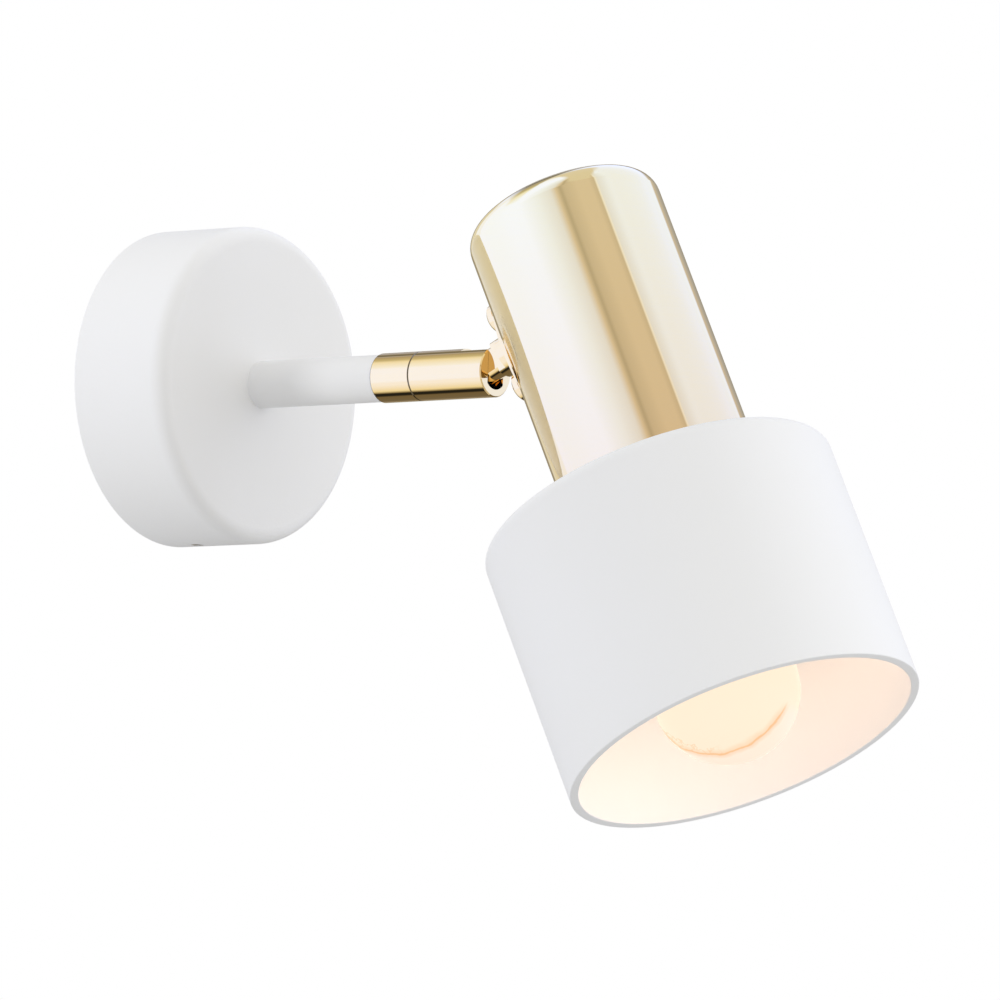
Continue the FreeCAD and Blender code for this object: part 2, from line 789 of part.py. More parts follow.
def make_swivel_rings():
    plate = cylinder("swivel_plate", "swivel_ring_diameter", "washer_back", "stem_shoulder")
    hole = cylinder("swivel_plate_hole", "stem_thread_diameter", "washer_back - overrun", "seam")
    on_wall("swivel_washer", cut("swivel_washer_solid", plate, hole))
    blank = cylinder("swivel_nut_blank", "swivel_ring_diameter", "swivel_nut_back", "washer_back")
    thread = cylinder("swivel_nut_thread", "stem_thread_diameter", "stem_back - overrun", "seam")
    on_wall("swivel_nut", cut("swivel_nut_solid", blank, thread))


# A short pin through each ear of the knuckle, ground flush with it, so that wires can pass between
def make_pins():
    limit = cylinder("pin_limit", "collar_diameter", "slot_floor", "knuckle_end")
    pins = []
    for side, start, end in (
        ("left", "0 - collar_diameter", "0 - pin_start"),
        ("right", "pin_start", "collar_diameter"),
    ):
        bar = cylinder(side + "_pin_bar", "pin_diameter", start, end, ("0", "pin_reach"), "x")
        pins.append(common(side + "_pin", bar, limit))
    on_wall("pivot_pins", group("pin_pair", *pins))


FLANGE_ENDS = (("upper", "flange_screw_spacing / 2"), ("lower", "0 - flange_screw_spacing / 2"))


# Ball-ended tongue, flattened to fit the slot, on an oval flange that sits on the barrel
def make_tongue():
    ball = sphere("tongue_ball", "tongue_diameter")
    neck = cylinder("tongue_neck", "tongue_diameter", "0", "neck_end")
    shoulder = cylinder("tongue_shoulder", "shoulder_diameter", "neck_end", "flange_face")
    oval = document.addObject("Part::Ellipse", "flange_oval")
    bind(oval, "MajorRadius", "flange_length / 2")
    bind(oval, "MinorRadius", "flange_width / 2")
    oval.Placement = Placement(Vector(), Rotation(Vector(0, 0, 1), QUARTER_TURN))
    bind(oval, "Placement.Base.z", "flange_face")
    plate = document.addObject("Part::Extrusion", "flange_plate")
    plate.Base = oval
    plate.Solid = True
    plate.DirMode = "Normal"
    bind(plate, "LengthFwd", "flange_thickness + overrun")
    sides = []
    for name, low, high in (
        ("left_flat", "0 - shoulder_diameter", "0 - tongue_thickness / 2"),
        ("right_flat", "tongue_thickness / 2", "shoulder_diameter"),
    ):
        sides.append(block(
            name, (low, "0 - shoulder_diameter", "0 - shoulder_diameter"),
            (high, "shoulder_diameter", "flat_end"),
        ))
    tools = [cylinder(
        "flange_saddle", "barrel_diameter", "0 - flange_length", "flange_length", ("0", "barrel_reach"), "y",
    )]
    tools.append(cylinder("tongue_bore", "wire_bore", "0 - tongue_diameter", "barrel_reach"))
    tools.append(cylinder(
        "tongue_pin_hole", "pin_diameter + 2 * running_gap",
        "0 - shoulder_diameter", "shoulder_diameter", ("0", "0"), "x",
    ))
    for name, up in FLANGE_ENDS:
        tools.append(cylinder(
            name + "_flange_hole", "flange_screw_diameter + 2 * flange_screw_gap",
            "0", "barrel_reach", ("0", up),
        ))
    solid = cut("tongue_solid", fuse("tongue_blank", ball, neck, shoulder, plate), *sides, *tools)
    out_tongue("tongue", solid)


# Button-head screws through flange, barrel and strip, with a nut on each
def make_flange_screws():
    screws = []
    nuts = []
    for name, up in FLANGE_ENDS:
        head_top = "flange_face - flange_head_height"
        head_rim = "flange_face - flange_head_rim"
        dome_height = "(flange_head_height - flange_head_rim)"
        dome_radius = "(flange_head_diameter ^ 2 / 4 + %s ^ 2) / (2 * %s)" % (dome_height, dome_height)
        dome = sphere(name + "_dome", "2 * " + dome_radius, head_top + " + " + dome_radius)
        bind(dome, "Placement.Base.y", up)
        rim = cylinder(
            name + "_head_rim", "flange_head_diameter", head_top + " - overrun", "flange_face", ("0", up),
        )
        head = common(name + "_head", dome, rim)
        shank = cylinder(
            name + "_shank", "flange_screw_diameter", head_rim, "flange_screw_end", ("0", up),
        )
        socket = hexagon(
            name + "_socket", "flange_socket_width", head_top + " - overrun",
            head_top + " + flange_socket_depth", ("0", up),
        )
        screws.append(cut(name + "_screw", fuse(name + "_screw_blank", head, shank), socket))
        blank = hexagon(
            name + "_nut_blank", "flange_nut_width", "nut_seat", "nut_seat + flange_nut_height", ("0", up),
        )
        thread = cylinder(
            name + "_nut_thread", "flange_screw_diameter", "flange_face", "barrel_reach", ("0", up),
        )
        nuts.append(cut(name + "_nut", blank, thread))
    out_tongue("flange_screws", group("flange_screw_pair", *screws))
    out_tongue("flange_nuts", group("flange_nut_pair", *nuts))


# Drawn brass cup, closed and rounded at the top, that stands on the shade
def make_barrel():
    inner = "barrel_radius - barrel_wall"
    body = turned("barrel_turning", [
        ("0", "0"),
        ("barrel_radius", "0"),
        ("barrel_radius", "barrel_length"),
        (inner, "barrel_length"),
        (inner, "barrel_wall"),
        ("0", "barrel_wall"),
    ])
    fillet(body, "barrel_top_edge", "barrel_edge_radius", ("barrel_radius", "0"))
    fillet(body, "barrel_inner_edge", "barrel_edge_radius - barrel_wall", (inner, "barrel_wall"))
    tools = [cylinder(
        "barrel_wire_tool", "barrel_wire_hole", "0 - barrel_diameter", "0", ("0", "barrel_above"), "y",
    )]
    for name, up in FLANGE_ENDS:
        tools.append(cylinder(
            name + "_barrel_hole", "flange_screw_diameter + 2 * flange_screw_gap",
            "0 - barrel_diameter", "0", ("0", "barrel_above - (%s)" % up), "y",
        ))
    down_head("barrel", cut("barrel_shell", body, *tools), "barrel_reach", "0 - barrel_above")


# Bent strip inside the barrel, curved to its wall, with a foot for the lampholder
def make_holder_bracket():
    shift = "barrel_reach - shade_reach"
    outer = cylinder("strip_outer", "2 * strip_radius", "0 - strip_top", "strip_foot", ("0", shift))
    inner = cylinder(
        "strip_inner", "2 * (strip_radius - strip_thickness)",
        "0 - strip_top - overrun", "strip_foot + overrun", ("0", shift),
    )
    wall_side = "%s - strip_radius" % shift
    band = block(
        "strip_band", ("0 - strip_width / 2", wall_side + " - overrun", "0 - strip_top"),
        ("strip_width / 2", "0", "strip_foot"),
    )
    leg = common("strip_leg", cut("strip_ring", outer, inner), band)
    foot_limit = cylinder("foot_limit", "2 * strip_radius", "strip_low", "strip_foot", ("0", shift))
    foot_box = block(
        "foot_box", ("0 - strip_width / 2", wall_side + " - overrun", "strip_low"),
        ("strip_width / 2", "strip_end", "strip_foot"),
    )
    foot = common("strip_foot_plate", foot_box, foot_limit)
    tools = [cylinder("foot_hole", "nipple_diameter", "strip_low - overrun", "strip_foot + overrun")]
    tools.append(cylinder(
        "strip_wire_hole", "barrel_wire_hole", wall_side + " - overrun", "0 - strip_end", ("0", "0"), "y",
    ))
    for name, up in FLANGE_ENDS:
        tools.append(cylinder(
            name + "_strip_hole", "flange_screw_diameter + 2 * flange_screw_gap",
            wall_side + " - overrun", "0 - strip_end", ("0", "0 - (%s)" % up), "y",
        ))
    down_head("holder_bracket", cut("holder_strip", fuse("strip", leg, foot), *tools), "shade_reach")


def make_holder_fixing():
    tube = cylinder("holder_tube", "nipple_diameter", "holder_nipple_top", "holder_nipple_bottom")
    bore = cylinder(
        "holder_tube_bore", "nipple_bore", "holder_nipple_top - overrun", "holder_nipple_bottom + overrun",
    )
    down_head("holder_nipple", cut("holder_nipple_solid", tube, bore), "shade_reach")
    blank = hexagon("holder_nut_blank", "arm_nut_width", "strip_low - holder_nut_height", "strip_low")
    thread = cylinder("holder_nut_thread", "nipple_diameter", "holder_nipple_top - overrun", "strip_foot")
    down_head("holder_nut", cut("holder_nut_solid", blank, thread), "shade_reach")


# Lampholder: a cap on the nipple, a moulded core with the contacts, and a skirt with the shade's seat
def make_lampholder():
    cap = turned("cap_turning", [
        ("nipple_diameter / 2", "strip_foot"),
        ("cap_diameter / 2", "strip_foot"),
        ("cap_diameter / 2", "core_top"),
        ("cap_diameter / 2 - cap_wall", "core_top"),
        ("cap_diameter / 2 - cap_wall", "strip_foot + cap_wall"),
        ("nipple_diameter / 2", "strip_foot + cap_wall"),
    ])
    fillet(cap, "cap_edge", "cap_edge_radius", ("cap_diameter / 2", "strip_foot"))
    down_head("lampholder_cap", cap, "shade_reach")
    core = cylinder("core_blank", "core_diameter", "core_top", "core_bottom")
    holes = []
    for name, sign in (("left", "0 - "), ("right", "")):
        holes.append(cylinder(
            name + "_core_hole", "core_wire_hole", "core_top - overrun", "core_bottom + overrun",
            (sign + "core_wire_spacing / 2", "0"),
        ))
    holes.append(cylinder(
        "contact_recess", "contact_recess_diameter", "contact_seat", "core_bottom + overrun",
    ))
    down_head("lampholder_core", cut("core_solid", core, *holes), "shade_reach")
    seat = "holder_seat_diameter / 2"
    skirt = "holder_diameter / 2"
    body = turned("skirt_turning", [
        ("core_diameter / 2", "core_top"),
        ("cap_diameter / 2", "core_top"),
        ("cap_diameter / 2", "shade_below - holder_seat_height"),
        (seat, "shade_below - holder_seat_height"),
        (seat, "shade_below"),
        (skirt, "shade_below"),
        (skirt, "holder_bottom"),
        ("holder_bore / 2", "holder_bottom"),
        ("holder_bore / 2", "core_bottom"),
        ("core_diameter / 2", "core_bottom"),
    ])
    chamfer(body, "skirt_edge", "shade_rim_edge", (skirt, "holder_bottom"))
    down_head("lampholder_body", body, "shade_reach")


# Pressed brass parts that touch the bulb: a threaded shell and a sprung centre strip
def make_contacts():
    shell = cylinder("shell_outer", "shell_diameter", "core_bottom", "shell_bottom")
    bore = cylinder(
        "shell_inner", "shell_diameter - 2 * shell_wall", "core_bottom - overrun", "shell_bottom + overrun",
    )
    down_head("screw_shell", cut("screw_shell_solid", shell, bore), "shade_reach")
    foot = block(
        "contact_foot", ("0 - contact_width / 2", "0 - contact_length / 2", "contact_seat"),
        ("contact_width / 2", "contact_length / 2", "contact_seat + contact_thickness"),
    )
    button = cylinder("contact_button", "contact_width / 2", "contact_seat", "solder_point")
    down_head("centre_contact", fuse("centre_contact_solid", foot, button), "shade_reach")


def make_shade_ring():
    bore = "holder_diameter / 2"
    ring = turned("ring_turning", [
        (bore, "shade_floor"),
        ("ring_diameter / 2", "shade_floor"),
        ("ring_diameter / 2", "shade_floor + ring_flange"),
        ("ring_skirt_diameter / 2", "shade_floor + ring_flange"),
        ("ring_skirt_diameter / 2", "ring_bottom"),
        (bore, "ring_bottom"),
    ])
    down_head("shade_ring", ring, "shade_reach")


# White cylinder, open at the mouth, with a flat top that is clamped on the lampholder
def make_shade():
    outer = "shade_diameter / 2"
    inner = "shade_diameter / 2 - shade_wall"
    body = turned("shade_turning", [
        ("shade_hole / 2", "shade_below"),
        (outer, "shade_below"),
        (outer, "mouth"),
        (inner, "mouth"),
        (inner, "shade_floor"),
        ("shade_hole / 2", "shade_floor"),
    ])
    fillet(body, "shade_top_edge", "shade_edge_radius", (outer, "shade_below"))
    fillet(body, "shade_inner_edge", "shade_inner_radius", (inner, "shade_floor"))
    fillet(body, "shade_rim_edges", "shade_rim_edge", (outer, "mouth"), (inner, "mouth"))
    down_head("shade", body, "shade_reach")


# Globe of the bulb: a hollow sphere that narrows into the neck in the cap
def make_globe():
    walls = []
    for name, less, start in (
        ("outer", "0", "bulb_cap_flare"),
        ("inner", "2 * globe_wall", "bulb_cap_flare - overrun"),
    ):
        size = "(globe_diameter - %s)" % less
        neck_size = "neck_diameter - " + less
        ball = sphere(name + "_globe", size, "globe_middle")
        wide = "2 * sqrt(%s ^ 2 / 4 - globe_shoulder_rise ^ 2)" % size
        shoulder = cone(
            name + "_shoulder", neck_size, wide, "neck_top", "globe_shoulder",
        )
        neck = cylinder(name + "_neck", neck_size, start, "neck_top")
        walls.append(fuse(name + "_envelope", ball, shoulder, neck))
    down_head("bulb_globe", cut("globe_shell", *walls), "shade_reach")


def make_bulb_base():
    shell = "bulb_cap_diameter / 2"
    inner = "bulb_cap_diameter / 2 - bulb_cap_wall"
    flare = "bulb_flare_diameter / 2"
    cap = turned("bulb_cap_turning", [
        (inner, "bulb_cap_bottom"),
        (shell, "bulb_cap_bottom"),
        (shell, "flare_start"),
        (flare, "bulb_cap_flare"),
        (flare, "bulb_cap_top"),
        (flare + " - bulb_cap_wall", "bulb_cap_top"),
        (flare + " - bulb_cap_wall", "bulb_cap_flare"),
        (inner, "flare_start"),
    ])
    down_head("bulb_cap", cap, "shade_reach")
    bead = cone("insulator_cone", "insulator_diameter", "2 * (%s)" % inner, "solder_top", "bulb_cap_bottom")
    disc = cylinder(
        "insulator_disc", "2 * (%s)" % inner, "bulb_cap_bottom", "bulb_cap_bottom + insulator_height",
    )
    down_head("bulb_insulator", fuse("insulator_solid", bead, disc), "shade_reach")
    solder = cylinder("solder_disc", "solder_diameter", "solder_point", "solder_top")
    down_head("bulb_tip", group("solder_solid", solder), "shade_reach")


# Glass stem, two lead wires and the filament that they carry
def make_bulb_inside():
    inside = "(neck_diameter - 2 * globe_wall)"
    foot = cylinder("stem_foot", inside, "bulb_cap_flare", "stem_foot_top")
    flare = cone(
        "stem_flare", inside, "bulb_stem_diameter",
        "stem_foot_top", "stem_foot_top + bulb_stem_flare_height",
    )
    rod = cylinder("stem_rod", "bulb_stem_diameter", "bulb_cap_flare", "bulb_stem_top")
    leads = []
    for side, sign, turn in (("left", "0 - ", -1), ("right", "", 1)):
        lead = document.addObject("Part::Cylinder", side + "_lead")
        bind(lead, "Radius", "lead_diameter / 2")
        bind(lead, "Height", "(lead_end - lead_start) * sqrt(1 + lead_slope ^ 2)")
        lead.Placement = Placement(Vector(), Rotation(Vector(0, turn, 0), QUARTER_TURN))
        bind(lead, "Placement.Rotation.Angle", "atan(lead_slope)")
        bind(lead, "Placement.Base.x", sign + "lead_foot_spread")
        bind(lead, "Placement.Base.z", "lead_start")
        leads.append(lead)
    stem = cut("stem_solid", fuse("stem_blank", foot, flare, rod), *leads)
    down_head("bulb_stem", stem, "shade_reach")
    coil = cylinder(
        "filament_coil", "filament_diameter", "0 - lead_spread", "lead_spread", ("0", "lead_end"), "x",
    )
    down_head("bulb_filament", cut("filament_solid", coil, *leads), "shade_reach")
    down_head("bulb_leads", group("lead_pair", *leads), "shade_reach")


def check_model():
    for piece in document.Objects:
        if "Invalid" in piece.State or "Error" in piece.State:
            raise RuntimeError("%s did not build: %s" % (piece.Label, piece.State))
    for name, piece in nodes.items():
        shape = piece.Shape
        if shape.isNull() or not shape.isValid() or not shape.Solids:
            raise RuntimeError("%s has no valid solid" % name)
        if any(solid.Volume <= 0 for solid in shape.Solids):
            raise RuntimeError("%s has an inside-out solid" % name)


def write_parts():
    os.makedirs("parts", exist_ok=True)
    for name, piece in nodes.items():
        piece.Shape.exportStep("parts/%s.step" % name)
        box = piece.Shape.optimalBoundingBox()
        corners = (name, len(piece.Shape.Solids), piece.Shape.Volume)
        corners += (box.XMin, box.XMax, box.YMin, box.YMax, box.ZMin, box.ZMax)
        print("%-22s %2d solids %10.1f mm3  X %7.1f %7.1f  Y %7.1f %7.1f  Z %7.1f %7.1f" % corners)


fill_sheet()
make_bracket()
make_earth_screw()
make_terminal()
make_canopy()
make_canopy_screws()
make_arm_root()
make_arm_tube()
make_collar()
make_knuckle()
make_swivel_rings()
make_pins()
make_tongue()
make_flange_screws()
make_barrel()
make_holder_bracket()
make_holder_fixing()
make_lampholder()
make_contacts()
make_shade_ring()
make_shade()
make_globe()
make_bulb_base()
make_bulb_inside()
document.recompute()
check_model()
write_parts()
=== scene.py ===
import json
from math import cos, pi, radians, sin

import bmesh
import bpy
from mathutils import Matrix, Vector

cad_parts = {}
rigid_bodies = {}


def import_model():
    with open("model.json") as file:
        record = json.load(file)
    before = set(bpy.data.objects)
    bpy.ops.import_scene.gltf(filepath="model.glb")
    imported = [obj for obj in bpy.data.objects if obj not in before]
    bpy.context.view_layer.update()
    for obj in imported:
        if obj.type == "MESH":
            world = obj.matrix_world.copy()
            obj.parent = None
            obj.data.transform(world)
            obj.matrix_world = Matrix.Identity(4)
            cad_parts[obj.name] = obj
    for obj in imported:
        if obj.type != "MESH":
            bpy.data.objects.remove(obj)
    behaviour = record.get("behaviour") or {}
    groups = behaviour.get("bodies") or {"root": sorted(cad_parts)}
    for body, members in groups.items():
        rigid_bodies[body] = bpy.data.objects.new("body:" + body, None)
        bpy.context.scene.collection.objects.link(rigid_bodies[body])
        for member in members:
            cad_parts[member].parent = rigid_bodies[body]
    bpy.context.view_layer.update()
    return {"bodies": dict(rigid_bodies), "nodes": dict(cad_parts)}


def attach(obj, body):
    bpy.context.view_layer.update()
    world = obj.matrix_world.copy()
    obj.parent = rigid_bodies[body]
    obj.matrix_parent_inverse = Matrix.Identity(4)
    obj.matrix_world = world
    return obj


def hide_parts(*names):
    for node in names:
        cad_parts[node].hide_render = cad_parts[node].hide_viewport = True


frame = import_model()
nodes = frame["nodes"]


# Camera
# A long lens three metres from the wall lamp, well round to its left and a little below it.
# Its line of sight passes to the right of the canopy's middle and a little below it.
CAMERA_AZIMUTH = radians(-52.3307)
CAMERA_ELEVATION = radians(-6.2046)
CAMERA_ROLL = radians(2.2683)
CAMERA_DISTANCE = 3.0
CAMERA_OFFSET_RIGHT = 0.10294
CAMERA_OFFSET_DOWN = 0.03498
CAMERA_LENS = 340.87
CAMERA_FAR = 200.0

camera_back = Vector((
    sin(CAMERA_AZIMUTH) * cos(CAMERA_ELEVATION),
    -cos(CAMERA_AZIMUTH) * cos(CAMERA_ELEVATION),
    sin(CAMERA_ELEVATION),
))
camera_level = Vector((cos(CAMERA_AZIMUTH), sin(CAMERA_AZIMUTH), 0))
camera_right = Matrix.Rotation(CAMERA_ROLL, 3, camera_back) @ camera_level
camera_up = camera_back.cross(camera_right)
camera_place = CAMERA_DISTANCE * camera_back + CAMERA_OFFSET_RIGHT * camera_right
camera_place -= CAMERA_OFFSET_DOWN * camera_up
camera = bpy.data.objects.new("camera", bpy.data.cameras.new("camera"))
camera.data.lens = CAMERA_LENS
camera.data.clip_end = CAMERA_FAR
camera.matrix_world = (
    Matrix.Translation(camera_place) @ Matrix((camera_right, camera_up, camera_back)).transposed().to_4x4()
)
bpy.context.scene.collection.objects.link(camera)
bpy.context.scene.camera = camera
bpy.context.scene.view_settings.view_transform = "Standard"


# Studio
# White room with a window panel on the left, a softer one on the right and a grey wall between them.
# Polished metal mirrors the panels, the wall, the ceiling's beam and the dim corners.
# Everything else gets plain soft light.
BACKGROUND_WHITE = (1.0, 1.0, 1.0, 1.0)
SOFT_LIGHT = (0.900, 0.900, 0.900, 1.0)
WINDOW = (1.06, 1.29, 2.37)
WINDOW_RIM = (0.88, 1.00, 1.50)
CURTAIN = (1.02, 1.14, 1.58)
DOOR = (0.80, 0.76, 0.62)
SIDE_PANEL = (0.98, 1.18, 1.95)
PANEL_EDGE = (0.97, 1.13, 1.60)
HIGH_PANEL = (0.98, 1.16, 1.86)
GREY_WALL = (0.77, 0.72, 0.73)
WALL_EDGE = (0.66, 0.62, 0.62)
DOOR_FRAME = (0.53, 0.50, 0.48)
SUNNY_EDGE = (1.02, 1.09, 1.39)
DIM_CORNER = (0.33, 0.28, 0.19)
CEILING = (0.80, 0.79, 0.80)
BEAM_EAST = 0.79
BEAM_NORTH = 0.61
BEAM_REACH = 0.15
BEAM_FADE = 0.24
BEHIND = (0.45, 0.55)
NEAR_WALL = (0.68, 0.80)
RIGHT = (0.0, 0.3)
HIGH = (0.42, 0.55)
OVERHEAD = (0.77, 0.85)
LOW = (-0.45, -0.30)
SIDE_REACH = 0.8


def add_node(tree, kind, **settings):
    made = tree.nodes.new(kind)
    for name, setting in settings.items():
        setattr(made, name, setting)
    return made


def set_ramp(ramp, stops):
    """Sets a colour ramp's stops, two or more, from a list of (place, colour)."""
    elements = ramp.color_ramp.elements
    while len(elements) < len(stops):
        elements.new(1.0)
    for element, (place, color) in zip(elements, stops):
        element.position = place
        element.color = (*color[:3], 1.0)


def shade_range(tree, value, low, high, from_shade, to_shade, smooth=True):
    """Runs from one shade at the value low to another at the value high."""
    made = add_node(tree, "ShaderNodeMapRange", interpolation_type="SMOOTHSTEP" if smooth else "LINEAR")
    tree.links.new(value, made.inputs["Value"])
    made.inputs["From Min"].default_value = low
    made.inputs["From Max"].default_value = high
    made.inputs["To Min"].default_value = from_shade
    made.inputs["To Max"].default_value = to_shade
    return made.outputs["Result"]


def calculate(tree, operation, first, second):
    made = add_node(tree, "ShaderNodeMath", operation=operation)
    for socket, term in zip(made.inputs, (first, second)):
        if isinstance(term, (int, float)):
            socket.default_value = term
        else:
            tree.links.new(term, socket)
    return made.outputs["Value"]


def mix_colors(tree, share, first, second):
    made = add_node(tree, "ShaderNodeMix", data_type="RGBA")
    for socket, term in ((made.inputs["Factor"], share), (made.inputs[6], first), (made.inputs[7], second)):
        if isinstance(term, (int, float, tuple)):
            socket.default_value = term
        else:
            tree.links.new(term, socket)
    return made.outputs[2]


world = bpy.data.worlds.new("studio")
world.use_nodes = True
bpy.context.scene.world = world
studio = world.node_tree
background = studio.nodes["Background"]
direction = add_node(studio, "ShaderNodeTexCoord")
axes = add_node(studio, "ShaderNodeSeparateXYZ")
studio.links.new(direction.outputs["Generated"], axes.inputs["Vector"])
east, north, height = axes.outputs

around = calculate(studio, "ARCTAN2", north, east)
around = calculate(studio, "FRACT", calculate(studio, "MULTIPLY", around, 1 / (2 * pi)), 0)
panels = add_node(studio, "ShaderNodeValToRGB")
studio.links.new(around, panels.inputs["Fac"])
set_ramp(panels, [
    (0.010, PANEL_EDGE),
    (0.018, (0.66, 0.59, 0.50)),
    (0.050, (0.44, 0.42, 0.38)),
    (0.085, DIM_CORNER),
    (0.150, DIM_CORNER),
    (0.160, DOOR),
    (0.205, DOOR),
    (0.225, CURTAIN),
    (0.260, CURTAIN),
    (0.268, (1.05, 1.23, 2.05)),
    (0.310, (1.05, 1.26, 2.15)),
    (0.400, WINDOW),
    (0.440, WINDOW),
    (0.494, SIDE_PANEL),
    (0.540, WINDOW_RIM),
    (0.559, GREY_WALL),
    (0.573, DOOR_FRAME),
    (0.585, WALL_EDGE),
    (0.635, GREY_WALL),
    (0.690, GREY_WALL),
    (0.716, WALL_EDGE),
    (0.722, SUNNY_EDGE),
    (0.730, WINDOW_RIM),
    (0.790, SIDE_PANEL),
    (0.860, (0.98, 1.20, 2.12)),
    (0.985, PANEL_EDGE),
])

behind = shade_range(studio, north, *BEHIND, 0.0, 1.0)
sideways = shade_range(studio, east, -SIDE_REACH, SIDE_REACH, 0.0, 1.0, smooth=False)
high = shade_range(studio, height, *HIGH, 0.0, 1.0)
right_high = calculate(studio, "MULTIPLY", high, shade_range(studio, east, *RIGHT, 0.0, 1.0))
seen = mix_colors(studio, right_high, panels.outputs["Color"], (*HIGH_PANEL, 1.0))
overhead = shade_range(studio, height, *OVERHEAD, 0.0, 1.0)
beam_east = calculate(studio, "MULTIPLY", east, BEAM_EAST)
beam_north = calculate(studio, "MULTIPLY", north, BEAM_NORTH)
off_beam = calculate(studio, "ABSOLUTE", calculate(studio, "SUBTRACT", beam_east, beam_north), 0)
beam = shade_range(studio, off_beam, BEAM_REACH, BEAM_FADE, 1.0, 0.0)
overhead = calculate(studio, "MULTIPLY", overhead, beam)
seen = mix_colors(studio, overhead, seen, (*CEILING, 1.0))
near_wall = shade_range(studio, north, *NEAR_WALL, 1.0, 0.0)
behind_high = calculate(studio, "MULTIPLY", calculate(studio, "MULTIPLY", behind, high), near_wall)
ceiling = add_node(studio, "ShaderNodeValToRGB")
studio.links.new(sideways, ceiling.inputs["Fac"])
set_ramp(ceiling, [
    (0.12, (1.03, 1.22, 1.90)),
    (0.32, (0.97, 1.02, 1.09)),
    (0.42, (0.63, 0.62, 0.48)),
    (0.58, (0.46, 0.42, 0.34)),
    (0.65, (0.46, 0.47, 0.55)),
    (0.695, (0.14, 0.13, 0.08)),
    (0.88, (0.48, 0.47, 0.48)),
])
seen = mix_colors(studio, behind_high, seen, ceiling.outputs["Color"])
low = shade_range(studio, height, *LOW, 1.0, 0.0)
ground = add_node(studio, "ShaderNodeValToRGB")
studio.links.new(sideways, ground.inputs["Fac"])
set_ramp(ground, [
    (0.12, (1.05, 1.20, 1.90)),
    (0.35, (0.95, 0.95, 0.87)),
    (0.43, (0.30, 0.27, 0.20)),
    (0.47, (0.02, 0.02, 0.02)),
    (0.58, (0.02, 0.02, 0.02)),
    (0.65, (0.18, 0.15, 0.10)),
])
seen = mix_colors(studio, low, seen, ground.outputs["Color"])

path = add_node(studio, "ShaderNodeLightPath")
light = mix_colors(studio, path.outputs["Is Glossy Ray"], SOFT_LIGHT, seen)
light = mix_colors(studio, path.outputs["Is Transmission Ray"], light, BACKGROUND_WHITE)
light = mix_colors(studio, path.outputs["Is Camera Ray"], light, BACKGROUND_WHITE)
studio.links.new(light, background.inputs["Color"])


# Floor
# Pale painted floor well below the lamp, which hangs on a wall that isn't shown.
# It looks paler than the light that it sends up, and polished metal doesn't mirror it.
FLOOR_LEVEL = -1.7
FLOOR_REACH = 80.0
FLOOR_PALE = (0.80, 0.80, 0.79, 1.0)
FLOOR_BOUNCE = (0.60, 0.60, 0.60, 1.0)
FLOOR_ROUGHNESS = 0.8

floor_mesh = bpy.data.meshes.new("floor")
floor_mesh.from_pydata(
    [(x * FLOOR_REACH, y * FLOOR_REACH, FLOOR_LEVEL) for x, y in ((-1, -1), (1, -1), (1, 1), (-1, 1))],
    [], [(0, 1, 2, 3)],
)
floor = bpy.data.objects.new("floor", floor_mesh)
bpy.context.scene.collection.objects.link(floor)
floor.visible_glossy = False
floor_paint = bpy.data.materials.new("floor_paint")
floor_paint.use_nodes = True
floor_tree = floor_paint.node_tree
floor_surface = floor_tree.nodes["Principled BSDF"]
floor_path = add_node(floor_tree, "ShaderNodeLightPath")
floor_color = mix_colors(floor_tree, floor_path.outputs["Is Camera Ray"], FLOOR_BOUNCE, FLOOR_PALE)
floor_tree.links.new(floor_color, floor_surface.inputs["Base Color"])
floor_surface.inputs["Roughness"].default_value = FLOOR_ROUGHNESS
floor_mesh.materials.append(floor_paint)


# Soft lamps
# A low panel behind on the left and a higher one in front on the right give the forms their shading.
# A small one, low in front, lifts the rim of the shade.
def soft_lamp(name, azimuth, elevation, distance, side, power):
    lamp = bpy.data.objects.new(name, bpy.data.lights.new(name, "AREA"))
    lamp.data.size = side
    lamp.data.energy = power
    lamp.location = distance * Vector((
        cos(radians(azimuth)) * cos(radians(elevation)),
        sin(radians(azimuth)) * cos(radians(elevation)),
        sin(radians(elevation)),
    ))
    lamp.rotation_euler = lamp.location.to_track_quat("Z", "Y").to_euler()
    lamp.visible_glossy = False
    bpy.context.scene.collection.objects.link(lamp)


soft_lamp("left_lamp", azimuth=150, elevation=-10, distance=1.8, side=0.5, power=7.4)
soft_lamp("right_lamp", azimuth=293, elevation=14, distance=2.2, side=2.0, power=10.3)
soft_lamp("low_lamp", azimuth=270, elevation=-25, distance=1.0, side=0.3, power=0.68)


# Canopy
# Spun steel cup, powder coated in matt white, that hides the bracket and carries the arm.
# The coat has a fine orange peel and is a touch thinner and darker in patches.
COAT_GLOSS = 0.3
COAT_ROUGHNESS_SHARES = (0.50, 0.60)
PEEL_DEPTH = 0.0002


def new_material(name):
    made = bpy.data.materials.new(name)
    made.use_nodes = True
    return made, made.node_tree, made.node_tree.nodes["Principled BSDF"]


def dress(material, *names):
    for name in names:
        mesh = nodes[name].data
        mesh.materials.clear()
        mesh.materials.append(material)


def new_group(name, inputs, outputs):
    """Starts a shader node group: inputs are (name, value), outputs are (name, kind)."""
    group = bpy.data.node_groups.new(name, "ShaderNodeTree")
    for label, number in inputs:
        socket = group.interface.new_socket(label, in_out="INPUT", socket_type="NodeSocketFloat")
        socket.default_value = number
    for label, kind in outputs:
        group.interface.new_socket(label, in_out="OUTPUT", socket_type=kind)
    return group, group.nodes.new("NodeGroupInput"), group.nodes.new("NodeGroupOutput")


